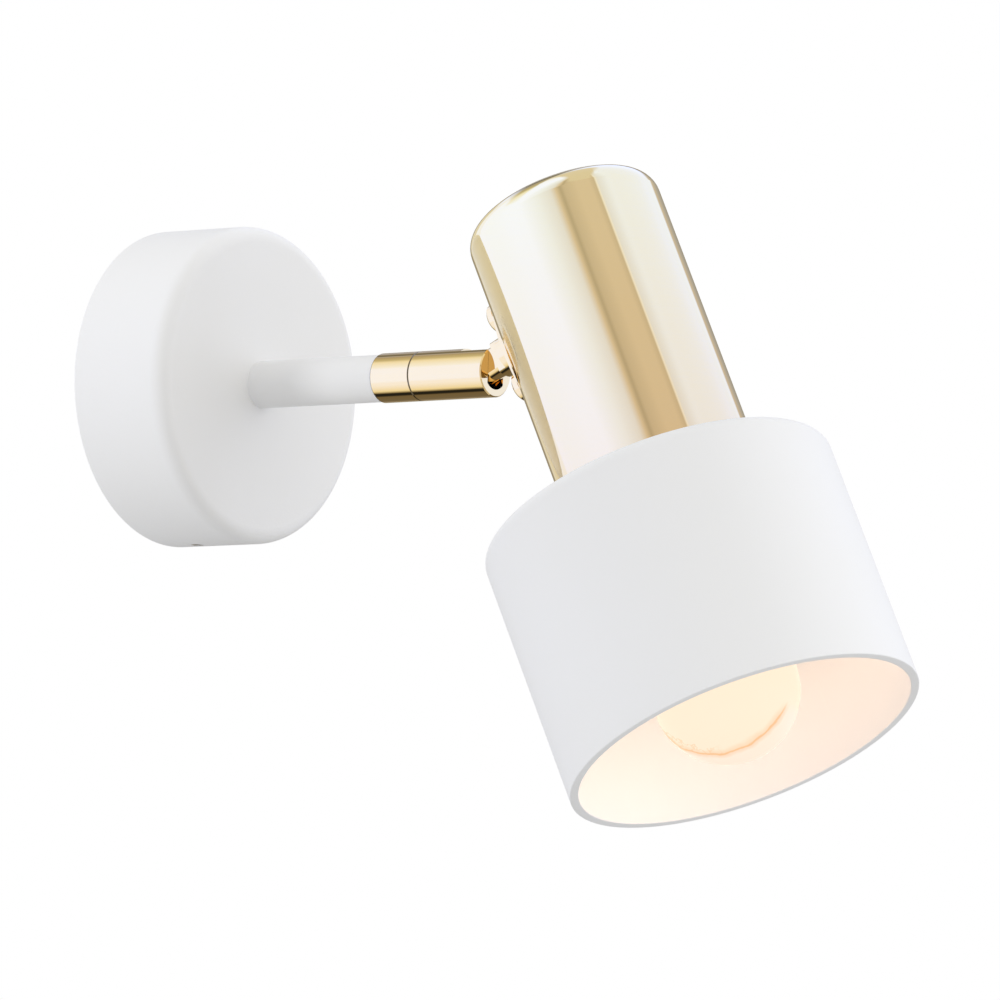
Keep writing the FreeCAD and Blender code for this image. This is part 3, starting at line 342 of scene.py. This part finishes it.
coat_grain, grain_in, grain_out = new_group(
    "coat_grain",
    [("Peel Scale", 900.0), ("Patch Scale", 14.0)],
    [("Height", "NodeSocketFloat"), ("Patches", "NodeSocketFloat")],
)
grain_place = add_node(coat_grain, "ShaderNodeTexCoord")
for label, result, detail in (("Peel Scale", "Height", 2.0), ("Patch Scale", "Patches", 3.0)):
    noise = add_node(coat_grain, "ShaderNodeTexNoise")
    noise.inputs["Detail"].default_value = detail
    coat_grain.links.new(grain_place.outputs["Object"], noise.inputs["Vector"])
    coat_grain.links.new(grain_in.outputs[label], noise.inputs["Scale"])
    coat_grain.links.new(noise.outputs["Fac"], grain_out.inputs[result])


def place_group(tree, group, **values):
    made = add_node(tree, "ShaderNodeGroup", node_tree=group)
    for name, number in values.items():
        made.inputs[name.replace("_", " ")].default_value = number
    return made


def powder_coat(name, light_tone, dark_tone, peel):
    made, tree, surface = new_material(name)
    surface.inputs["Specular IOR Level"].default_value = COAT_GLOSS
    grain = place_group(tree, coat_grain)
    color = mix_colors(tree, grain.outputs["Patches"], light_tone, dark_tone)
    tree.links.new(color, surface.inputs["Base Color"])
    rough = shade_range(tree, grain.outputs["Patches"], 0.3, 0.7, *COAT_ROUGHNESS_SHARES)
    tree.links.new(rough, surface.inputs["Roughness"])
    bump = add_node(tree, "ShaderNodeBump")
    bump.inputs["Strength"].default_value = peel
    bump.inputs["Distance"].default_value = PEEL_DEPTH
    tree.links.new(grain.outputs["Height"], bump.inputs["Height"])
    tree.links.new(bump.outputs["Normal"], surface.inputs["Normal"])
    return made


white_paint = powder_coat("white_paint", (0.912, 0.909, 0.896, 1.0), (0.890, 0.887, 0.874, 1.0), 0.15)
dress(white_paint, "canopy")


# Wall bracket, screws, nuts and washers
# Bent strip and turned parts in mild steel, zinc plated, with a mottled grain.
# The passivation after the plating leaves them a pale yellow.
# The bulb's tip, leads and filament are dressed in the same metal.
steel, steel_tree, steel_surface = new_material("zinc_steel")
steel_surface.inputs["Metallic"].default_value = 1.0
steel_grain = place_group(steel_tree, coat_grain, Peel_Scale=350.0, Patch_Scale=120.0)
steel_color = mix_colors(
    steel_tree, steel_grain.outputs["Patches"], (0.64, 0.59, 0.47, 1.0), (0.52, 0.48, 0.38, 1.0),
)
steel_tree.links.new(steel_color, steel_surface.inputs["Base Color"])
steel_rough = shade_range(steel_tree, steel_grain.outputs["Height"], 0.3, 0.7, 0.25, 0.42)
steel_tree.links.new(steel_rough, steel_surface.inputs["Roughness"])
dress(
    steel, "wall_bracket", "earth_washer", "terminal_screws", "terminal_fixing_screw", "canopy_screws",
    "arm_nipple", "arm_washer", "arm_nut", "stop_pin", "flange_nuts", "holder_bracket", "holder_nipple",
    "holder_nut", "bulb_tip", "bulb_leads", "bulb_filament",
)


# Threaded tubes
# Two steel nipples with a fine thread: one holds the arm on the canopy, one holds the lampholder.
# They are cut from plated tube, and the thread runs out to a small chamfer at each end.
NIPPLE_RADIUS = 0.0050
NIPPLE_BORE = 0.0036
NIPPLE_CHAMFER = 0.0005
NIPPLE_THREAD = 0.00045
NIPPLE_PITCH = 0.0010
NIPPLE_SIDES = 48
ARM_NIPPLE_START = 0.0253
ARM_NIPPLE_END = 0.0475
HOLDER_NIPPLE_START = 0.0434
HOLDER_NIPPLE_END = 0.0559
PIVOT = Vector((0.0, -0.1225, 0.0))
HEAD_OUT = Vector((0.0, -0.8942, 0.4478))
HEAD_DOWN = Vector((0.0, -0.4478, -0.8942))
BULB_AXIS = 0.0426
SHARP_ANGLE = radians(35)


def on_arm(across, up, along):
    return Vector((across, -along, up))


def on_head(across, out, down):
    return PIVOT + Vector((across, 0.0, 0.0)) + (BULB_AXIS + out) * HEAD_OUT + down * HEAD_DOWN


def add_piece(name, mesh, body, material, slot, *replaced):
    mesh.materials.append(material)
    mesh.shade_smooth()
    mesh.set_sharp_from_angle(angle=SHARP_ANGLE)
    piece = bpy.data.objects.new(name, mesh)
    bpy.context.scene.collection.objects.link(piece)
    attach(piece, body)
    if replaced:
        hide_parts(*replaced)


def screw_wave(along, turn, pitch):
    return 0.5 - 0.5 * cos(2 * pi * (along / pitch - turn))


def turn_round(name, rows, place, wave, pitch, sides):
    """Turns a closed profile of (along, radius, depth of the wave cut into it) about an axis."""
    shape = bmesh.new()
    rings = []
    for along, radius, depth in rows:
        ring = []
        for side in range(sides):
            share = side / sides
            reach = radius - depth * wave(along, share, pitch)
            corner = place(reach * cos(2 * pi * share), reach * sin(2 * pi * share), along)
            ring.append(shape.verts.new(corner))
        rings.append(ring)
    for ring, after in zip(rings, rings[1:] + rings[:1]):
        for side in range(sides):
            beside = (side + 1) % sides
            shape.faces.new((ring[side], ring[beside], after[beside], after[side]))
    bmesh.ops.recalc_face_normals(shape, faces=shape.faces)
    mesh = bpy.data.meshes.new(name)
    shape.to_mesh(mesh)
    shape.free()
    return mesh


def thread_rows(start, end, radius, depth, pitch, steps=8):
    """Rows down a threaded wall, with the thread running out over one pitch at each end."""
    count = max(2, round(abs(end - start) / pitch * steps))
    rows = []
    for step in range(count + 1):
        along = start + (end - start) * step / count
        run_out = min(1.0, abs(along - start) / pitch, abs(end - along) / pitch)
        rows.append((along, radius, depth * run_out))
    return rows


def nipple(name, start, end, place, body, node):
    end_radius = NIPPLE_RADIUS - NIPPLE_CHAMFER
    thread_start = start + NIPPLE_CHAMFER
    thread_end = end - NIPPLE_CHAMFER
    rows = [(start, end_radius, 0.0)]
    rows += thread_rows(thread_start, thread_end, NIPPLE_RADIUS, NIPPLE_THREAD, NIPPLE_PITCH, steps=6)
    rows += [(end, end_radius, 0.0), (end, NIPPLE_BORE, 0.0), (start, NIPPLE_BORE, 0.0)]
    mesh = turn_round(name, rows, place, screw_wave, NIPPLE_PITCH, NIPPLE_SIDES)
    add_piece(name, mesh, body, steel, "zinc_steel", node)


nipple("arm_nipple_thread", ARM_NIPPLE_START, ARM_NIPPLE_END, on_arm, "wall_base", "arm_nipple")
nipple("holder_nipple_thread", HOLDER_NIPPLE_START, HOLDER_NIPPLE_END, on_head, "head", "holder_nipple")


# Terminal block
# Two-pole block moulded in cream plastic with a fine matt grain.
# A screw holds it on the wall bracket.
def moulded(name, light_tone, dark_tone):
    made, tree, surface = new_material(name)
    grain = place_group(tree, coat_grain, Peel_Scale=1500.0, Patch_Scale=60.0)
    color = mix_colors(tree, grain.outputs["Patches"], light_tone, dark_tone)
    tree.links.new(color, surface.inputs["Base Color"])
    rough = shade_range(tree, grain.outputs["Height"], 0.3, 0.7, 0.35, 0.50)
    tree.links.new(rough, surface.inputs["Roughness"])
    return made


block_plastic = moulded("block_plastic", (0.78, 0.76, 0.68, 1.0), (0.72, 0.70, 0.62, 1.0))
dress(block_plastic, "terminal_block")


# Lampholder
# Cap, core and skirt moulded in white plastic, held on the strip in the barrel by a nipple and its nut.
# The skirt has a flat seat for the shade and a coarse thread for the ring that clamps it.
holder_plastic = moulded("holder_plastic", (0.82, 0.82, 0.80, 1.0), (0.77, 0.77, 0.75, 1.0))
dress(holder_plastic, "lampholder_cap", "lampholder_core")

SKIRT_TOP = 0.0649
SKIRT_SHOULDER = 0.0138
SEAT_TOP = 0.0672
SEAT_RADIUS = 0.0165
SEAT_BOTTOM = 0.0694
SKIRT_RADIUS = 0.0131
SKIRT_THREAD_START = 0.0745
SKIRT_BOTTOM = 0.1029
SKIRT_EDGE = 0.0004
SKIRT_BORE = 0.0090
CORE_RADIUS = 0.0115
CORE_BOTTOM = 0.0799
SKIRT_PITCH = 0.0030
SKIRT_THREAD_DEPTH = 0.0007
SKIRT_SIDES = 96
skirt_rows = [
    (SKIRT_TOP, CORE_RADIUS, 0.0),
    (SKIRT_TOP, SKIRT_SHOULDER, 0.0),
    (SEAT_TOP, SKIRT_SHOULDER, 0.0),
    (SEAT_TOP, SEAT_RADIUS - SKIRT_EDGE, 0.0),
    (SEAT_TOP + SKIRT_EDGE, SEAT_RADIUS, 0.0),
    (SEAT_BOTTOM, SEAT_RADIUS, 0.0),
    (SEAT_BOTTOM, SKIRT_RADIUS, 0.0),
]
skirt_rows += thread_rows(
    SKIRT_THREAD_START, SKIRT_BOTTOM - SKIRT_EDGE, SKIRT_RADIUS, SKIRT_THREAD_DEPTH, SKIRT_PITCH,
)
skirt_rows += [
    (SKIRT_BOTTOM, SKIRT_RADIUS - SKIRT_EDGE, 0.0),
    (SKIRT_BOTTOM, SKIRT_BORE, 0.0),
    (CORE_BOTTOM, SKIRT_BORE, 0.0),
    (CORE_BOTTOM, CORE_RADIUS, 0.0),
]
skirt_mesh = turn_round("holder_skirt", skirt_rows, on_head, screw_wave, SKIRT_PITCH, SKIRT_SIDES)
add_piece("holder_skirt", skirt_mesh, "head", holder_plastic, "holder_plastic", "lampholder_body")


# Shade ring
# Ring in the same white plastic that screws up the skirt and clamps the shade on its seat.
# Ribs round its lower edge give the fingers grip.
RING_TOP = 0.0722
RING_FLANGE_BOTTOM = 0.0740
RING_BOTTOM = 0.0802
RING_RADIUS = 0.0200
RING_GRIP_RADIUS = 0.0155
RING_BORE = 0.0131
RING_EDGE = 0.0003
RING_RIBS = 32
RING_NOTCH = 0.0006
RING_SIDES = 12 * RING_RIBS


def rib_wave(along, share, count):
    return max(0.0, cos(2 * pi * count * share)) ** 0.5


ring_rows = [
    (RING_TOP, RING_BORE, 0.0),
    (RING_TOP, RING_RADIUS - RING_EDGE, 0.0),
    (RING_TOP + RING_EDGE, RING_RADIUS, 0.0),
    (RING_FLANGE_BOTTOM - RING_EDGE, RING_RADIUS, 0.0),
    (RING_FLANGE_BOTTOM, RING_RADIUS - RING_EDGE, 0.0),
    (RING_FLANGE_BOTTOM, RING_GRIP_RADIUS, 0.0),
    (RING_FLANGE_BOTTOM + RING_EDGE, RING_GRIP_RADIUS, RING_NOTCH),
    (RING_BOTTOM - RING_EDGE, RING_GRIP_RADIUS, RING_NOTCH),
    (RING_BOTTOM, RING_GRIP_RADIUS - RING_EDGE, RING_NOTCH),
    (RING_BOTTOM, RING_BORE + RING_EDGE, 0.0),
    (RING_BOTTOM - RING_EDGE, RING_BORE, 0.0),
]
ring_mesh = turn_round("shade_ring_ribbed", ring_rows, on_head, rib_wave, RING_RIBS, RING_SIDES)
add_piece("shade_ring_ribbed", ring_mesh, "head", holder_plastic, "holder_plastic", "shade_ring")


# Collar, knuckle, tongue, pins and flange screws
# Turned brass, polished and lacquered, with faint hairlines from the polishing.
# A dark line is painted in the seam between collar and knuckle, partly tarnish and partly painted shade,
# and a painted shadow line where the arm's end meets the collar.
polish_marks, marks_in, marks_out = new_group(
    "polish_marks",
    [("Hairline Scale", 60.0), ("Haze Scale", 25.0)],
    [("Hairlines", "NodeSocketFloat"), ("Haze", "NodeSocketFloat")],
)
marks_place = add_node(polish_marks, "ShaderNodeTexCoord")
marks_stretch = add_node(polish_marks, "ShaderNodeMapping")
marks_stretch.inputs["Scale"].default_value = (1.0, 1.0, 40.0)
polish_marks.links.new(marks_place.outputs["Object"], marks_stretch.inputs["Vector"])
hairline_noise = add_node(polish_marks, "ShaderNodeTexNoise")
hairline_noise.inputs["Detail"].default_value = 4.0
polish_marks.links.new(marks_stretch.outputs["Vector"], hairline_noise.inputs["Vector"])
polish_marks.links.new(marks_in.outputs["Hairline Scale"], hairline_noise.inputs["Scale"])
polish_marks.links.new(hairline_noise.outputs["Fac"], marks_out.inputs["Hairlines"])
haze_noise = add_node(polish_marks, "ShaderNodeTexNoise")
haze_noise.inputs["Detail"].default_value = 3.0
polish_marks.links.new(marks_place.outputs["Object"], haze_noise.inputs["Vector"])
polish_marks.links.new(marks_in.outputs["Haze Scale"], haze_noise.inputs["Scale"])
polish_marks.links.new(haze_noise.outputs["Fac"], marks_out.inputs["Haze"])

LACQUER_ROUGHNESS = 0.02


def brass_finish(name, light_tone, dark_tone, smooth, hazy, lacquer=1.0):
    made, tree, surface = new_material(name)
    surface.inputs["Metallic"].default_value = 1.0
    surface.inputs["Coat Weight"].default_value = lacquer
    surface.inputs["Coat Roughness"].default_value = LACQUER_ROUGHNESS
    marks = place_group(tree, polish_marks)
    color = mix_colors(tree, marks.outputs["Haze"], light_tone, dark_tone)
    tree.links.new(color, surface.inputs["Base Color"])
    rough = shade_range(tree, marks.outputs["Hairlines"], 0.35, 0.65, smooth, hazy)
    tree.links.new(rough, surface.inputs["Roughness"])
    return made, tree, surface, color


turned_brass, turned_tree, turned_surface, turned_color = brass_finish(
    "turned_brass", (0.92, 0.675, 0.30, 1.0), (0.90, 0.655, 0.28, 1.0), 0.03, 0.07,
)
COLLAR_END = 0.0844
KNUCKLE_SEAM = 0.0995
END_REACH = 0.00050
SEAM_REACH = 0.00035
TARNISH_AND_PAINTED_SHADE = (0.16, 0.12, 0.06, 1.0)
turned_place = add_node(turned_tree, "ShaderNodeTexCoord")
turned_axes = add_node(turned_tree, "ShaderNodeSeparateXYZ")
turned_tree.links.new(turned_place.outputs["Object"], turned_axes.inputs["Vector"])
# Painted shade and tarnish: a dark line in each seam, laid on the brass colour by position.
for seam, reach in ((COLLAR_END, END_REACH), (KNUCKLE_SEAM, SEAM_REACH)):
    from_seam = calculate(turned_tree, "ADD", turned_axes.outputs["Y"], seam)
    from_seam = calculate(turned_tree, "ABSOLUTE", from_seam, 0)
    seam_shade_and_tarnish = shade_range(turned_tree, from_seam, 0.6 * reach, reach, 1.0, 0.0)
    turned_color = mix_colors(turned_tree, seam_shade_and_tarnish, turned_color, TARNISH_AND_PAINTED_SHADE)
turned_tree.links.new(turned_color, turned_surface.inputs["Base Color"])
dress(turned_brass, "arm_collar", "knuckle", "pivot_pins", "tongue", "flange_screws")


# Barrel
# Deep cup drawn in brass, polished and lacquered, that hides the strip and the lampholder's cap.
# Its colour is painted a little deeper towards the shade, a painted shade that stands in for the studio's
# light along its length.
BARREL_TOP = 0.022
BARREL_END = 0.124
drawn_brass, drawn_tree, drawn_surface, drawn_color = brass_finish(
    "drawn_brass", (0.89, 0.730, 0.362, 1.0), (0.88, 0.720, 0.352, 1.0), 0.025, 0.05,
)
drawn_place = add_node(drawn_tree, "ShaderNodeTexCoord")
drawn_down = add_node(drawn_tree, "ShaderNodeVectorMath", operation="DOT_PRODUCT")
drawn_tree.links.new(drawn_place.outputs["Object"], drawn_down.inputs[0])
drawn_down.inputs[1].default_value = HEAD_DOWN
painted_shade_share = shade_range(
    drawn_tree, drawn_down.outputs["Value"], BARREL_TOP, BARREL_END, 0.0, 1.0, smooth=False,
)
# Painted shade: the brass runs darker and browner towards the shade.
painted_shade_color = mix_colors(drawn_tree, painted_shade_share, drawn_color, (0.86, 0.645, 0.32, 1.0))
drawn_tree.links.new(painted_shade_color, drawn_surface.inputs["Base Color"])
dress(drawn_brass, "barrel")


# Sleeves, bush, swivel nut and contact
# Turned and stamped brass that is hidden in use, so it is neither polished nor lacquered.
# It stays dull and a little darker than the parts that show.
plain_brass, *_ = brass_finish(
    "plain_brass", (0.80, 0.62, 0.32, 1.0), (0.70, 0.52, 0.26, 1.0), 0.22, 0.38, lacquer=0.0,
)
dress(
    plain_brass, "earth_screw", "terminal_sleeves", "arm_root_bush", "swivel_washer", "swivel_nut",
    "centre_contact",
)


# Screw shell and bulb cap
# Thin brass pressed over a former, so the coarse round thread shows inside and out.
# The shell sits in the lampholder's core, and the cap is screwed into it.
BULB_PITCH = 0.00282
BULB_THREAD_DEPTH = 0.00045
SHELL_TOP = 0.0799
SHELL_BOTTOM = 0.0989
SHELL_THREAD_DEPTH = 0.00035
SHELL_RADIUS = 0.0072
SHELL_WALL = 0.00040
SHELL_SIDES = 72
shell_rows = thread_rows(SHELL_TOP, SHELL_BOTTOM, SHELL_RADIUS, SHELL_THREAD_DEPTH, BULB_PITCH)
shell_rows += [
    (along, radius - SHELL_WALL, depth) for along, radius, depth in reversed(shell_rows)
]
shell_mesh = turn_round("screw_shell_thread", shell_rows, on_head, screw_wave, BULB_PITCH, SHELL_SIDES)
add_piece("screw_shell_thread", shell_mesh, "head", plain_brass, "plain_brass", "screw_shell")

CAP_BOTTOM = 0.0811
CAP_RADIUS = 0.0066
CAP_WALL = 0.00035
FLARE_START = 0.0991
FLARE_END = 0.1009
FLARE_TOP = 0.1035
FLARE_RADIUS = 0.0084
cap_rows = thread_rows(CAP_BOTTOM, FLARE_START, CAP_RADIUS, BULB_THREAD_DEPTH, BULB_PITCH)
cap_rows += [(FLARE_END, FLARE_RADIUS, 0.0), (FLARE_TOP, FLARE_RADIUS, 0.0)]
cap_rows += [
    (along, radius - CAP_WALL, depth) for along, radius, depth in reversed(cap_rows)
]
cap_mesh = turn_round("bulb_cap_thread", cap_rows, on_head, screw_wave, BULB_PITCH, SHELL_SIDES)
add_piece("bulb_cap_thread", cap_mesh, "head", plain_brass, "plain_brass", "bulb_cap")


# Shade and arm tube
# Spun aluminium cylinder and drawn steel tube, powder coated in the canopy's matt white; this copy of the
# paint is a touch darker as painted shade.
# The shade is coated inside and out, and the ring clamps it on the lampholder.
# Painted shade: a darker copy of the canopy's white paint.
white_paint_painted_darker = powder_coat("white_paint_painted_darker", (0.868, 0.865, 0.852, 1.0), (0.850, 0.847, 0.834, 1.0), 0.12)
dress(white_paint_painted_darker, "shade", "arm_tube")


# Bulb
# Round opal globe, lit, with a warm glow that fills the shade.
# Low on the globe a thin, uneven orange trace with a few finer curls is a painted highlight in the glow.
# A clear glass stem inside carries the leads, and black glass keeps the cap's tip apart from its shell.
GLOW = (1.0, 0.85, 0.675, 1.0)
DEEP_GLOW = (1.0, 0.84, 0.655, 1.0)
GLOW_STRENGTH = 0.80
LIGHT_TONE = (1.0, 0.73, 0.575)
LIGHT_PLACE = (0.0, -0.22066, -0.10082)
LIGHT_RADIUS = 0.0237
GLOW_POWER = 0.045
TRACE_LOW = -0.1085
TRACE_HIGH = -0.1040
TRACE_FACING = (0.914, 0.203, -0.352)
TRACE_OFFSET = -0.01158
TRACE_WAVE = 0.0009
TRACE_WIDTH = 0.0008
TRACE_HAZE = 0.0030
CURL_WAVE = 0.0060
CURL_START = -0.229
CURL_END = -0.222
CURL_GRAIN = 300.0
PAINTED_HIGHLIGHT_ORANGE = (0.86, 0.42, 0.14, 1.0)
PAINTED_CURL_ORANGE = (0.90, 0.52, 0.24, 1.0)
THIN_GLASS = (1.0, 0.84, 0.715, 1.0)

opal, opal_tree, opal_surface = new_material("opal_glass")
opal_surface.inputs["Base Color"].default_value = (0.10, 0.09, 0.075, 1.0)
opal_surface.inputs["Roughness"].default_value = 0.35
opal_surface.inputs["Specular IOR Level"].default_value = 0.05
opal_grain = place_group(opal_tree, coat_grain, Peel_Scale=200.0, Patch_Scale=45.0)
opal_glow = mix_colors(opal_tree, opal_grain.outputs["Patches"], GLOW, DEEP_GLOW)
opal_place = add_node(opal_tree, "ShaderNodeTexCoord")
opal_axes = add_node(opal_tree, "ShaderNodeSeparateXYZ")
opal_tree.links.new(opal_place.outputs["Object"], opal_axes.inputs["Vector"])
opal_low = shade_range(opal_tree, opal_axes.outputs["Z"], TRACE_LOW, TRACE_HIGH, 1.0, 0.0)
opal_across = add_node(opal_tree, "ShaderNodeVectorMath", operation="DOT_PRODUCT")
opal_across.inputs[1].default_value = TRACE_FACING
opal_tree.links.new(opal_place.outputs["Object"], opal_across.inputs[0])
opal_wave = shade_range(
    opal_tree, opal_grain.outputs["Height"], 0.2, 0.8, -TRACE_WAVE, TRACE_WAVE, smooth=False,
)
opal_off = calculate(opal_tree, "SUBTRACT", opal_across.outputs["Value"], TRACE_OFFSET)
opal_off = calculate(opal_tree, "ADD", opal_off, opal_wave)
opal_thin = shade_range(opal_tree, opal_off, 0.0, TRACE_WIDTH, 0.0, 1.0)
opal_thin = calculate(opal_tree, "MULTIPLY", opal_low, opal_thin)
opal_glow = mix_colors(opal_tree, opal_thin, opal_glow, THIN_GLASS)
# Painted highlight: the finer orange curls beside the trace.
curl_grain = place_group(opal_tree, coat_grain, Peel_Scale=CURL_GRAIN)
curl_wave = shade_range(
    opal_tree, curl_grain.outputs["Height"], 0.25, 0.75, -CURL_WAVE, 0.4 * CURL_WAVE, smooth=False,
)
curl_off = calculate(opal_tree, "ABSOLUTE", calculate(opal_tree, "SUBTRACT", opal_off, curl_wave), 0)
painted_highlight_curl = shade_range(opal_tree, curl_off, 0.2 * TRACE_WIDTH, TRACE_WIDTH, 0.5, 0.0)
curl_side = shade_range(opal_tree, opal_axes.outputs["Y"], CURL_START, CURL_END, 0.0, 1.0)
curl_share = calculate(opal_tree, "MULTIPLY", curl_side, opal_low)
painted_highlight_curl = calculate(opal_tree, "MULTIPLY", painted_highlight_curl, curl_share)
opal_glow = mix_colors(opal_tree, painted_highlight_curl, opal_glow, PAINTED_CURL_ORANGE)
opal_off = calculate(opal_tree, "ABSOLUTE", opal_off, 0)
# Painted highlight: the thin orange trace low on the globe.
for reach, share in ((TRACE_HAZE, 0.35), (TRACE_WIDTH, 0.75)):
    painted_highlight_trace = shade_range(opal_tree, opal_off, 0.2 * reach, reach, share, 0.0)
    painted_highlight_trace = calculate(opal_tree, "MULTIPLY", painted_highlight_trace, opal_low)
    opal_glow = mix_colors(opal_tree, painted_highlight_trace, opal_glow, PAINTED_HIGHLIGHT_ORANGE)
opal_tree.links.new(opal_glow, opal_surface.inputs["Emission Color"])
opal_surface.inputs["Emission Strength"].default_value = GLOW_STRENGTH
dress(opal, "bulb_globe")

glass, glass_tree, glass_surface = new_material("clear_glass")
glass_surface.inputs["Roughness"].default_value = 0.05
glass_surface.inputs["Transmission Weight"].default_value = 1.0
glass_grain = place_group(glass_tree, coat_grain, Peel_Scale=200.0, Patch_Scale=45.0)
glass_color = mix_colors(
    glass_tree, glass_grain.outputs["Patches"], (0.96, 0.97, 0.97, 1.0), (0.9, 0.92, 0.92, 1.0),
)
glass_tree.links.new(glass_color, glass_surface.inputs["Base Color"])
dress(glass, "bulb_stem")
black_glass = moulded("black_glass", (0.03, 0.03, 0.035, 1.0), (0.02, 0.02, 0.02, 1.0))
dress(black_glass, "bulb_insulator")

globe_light = bpy.data.objects.new("globe_light", bpy.data.lights.new("globe_light", "POINT"))
globe_light.data.shadow_soft_size = LIGHT_RADIUS
globe_light.data.use_soft_falloff = False
globe_light.data.energy = GLOW_POWER
globe_light.data.color = LIGHT_TONE
globe_light.location = LIGHT_PLACE
globe_light.parent = frame["bodies"]["head"]
globe_light.visible_glossy = False
bpy.context.scene.collection.objects.link(globe_light)
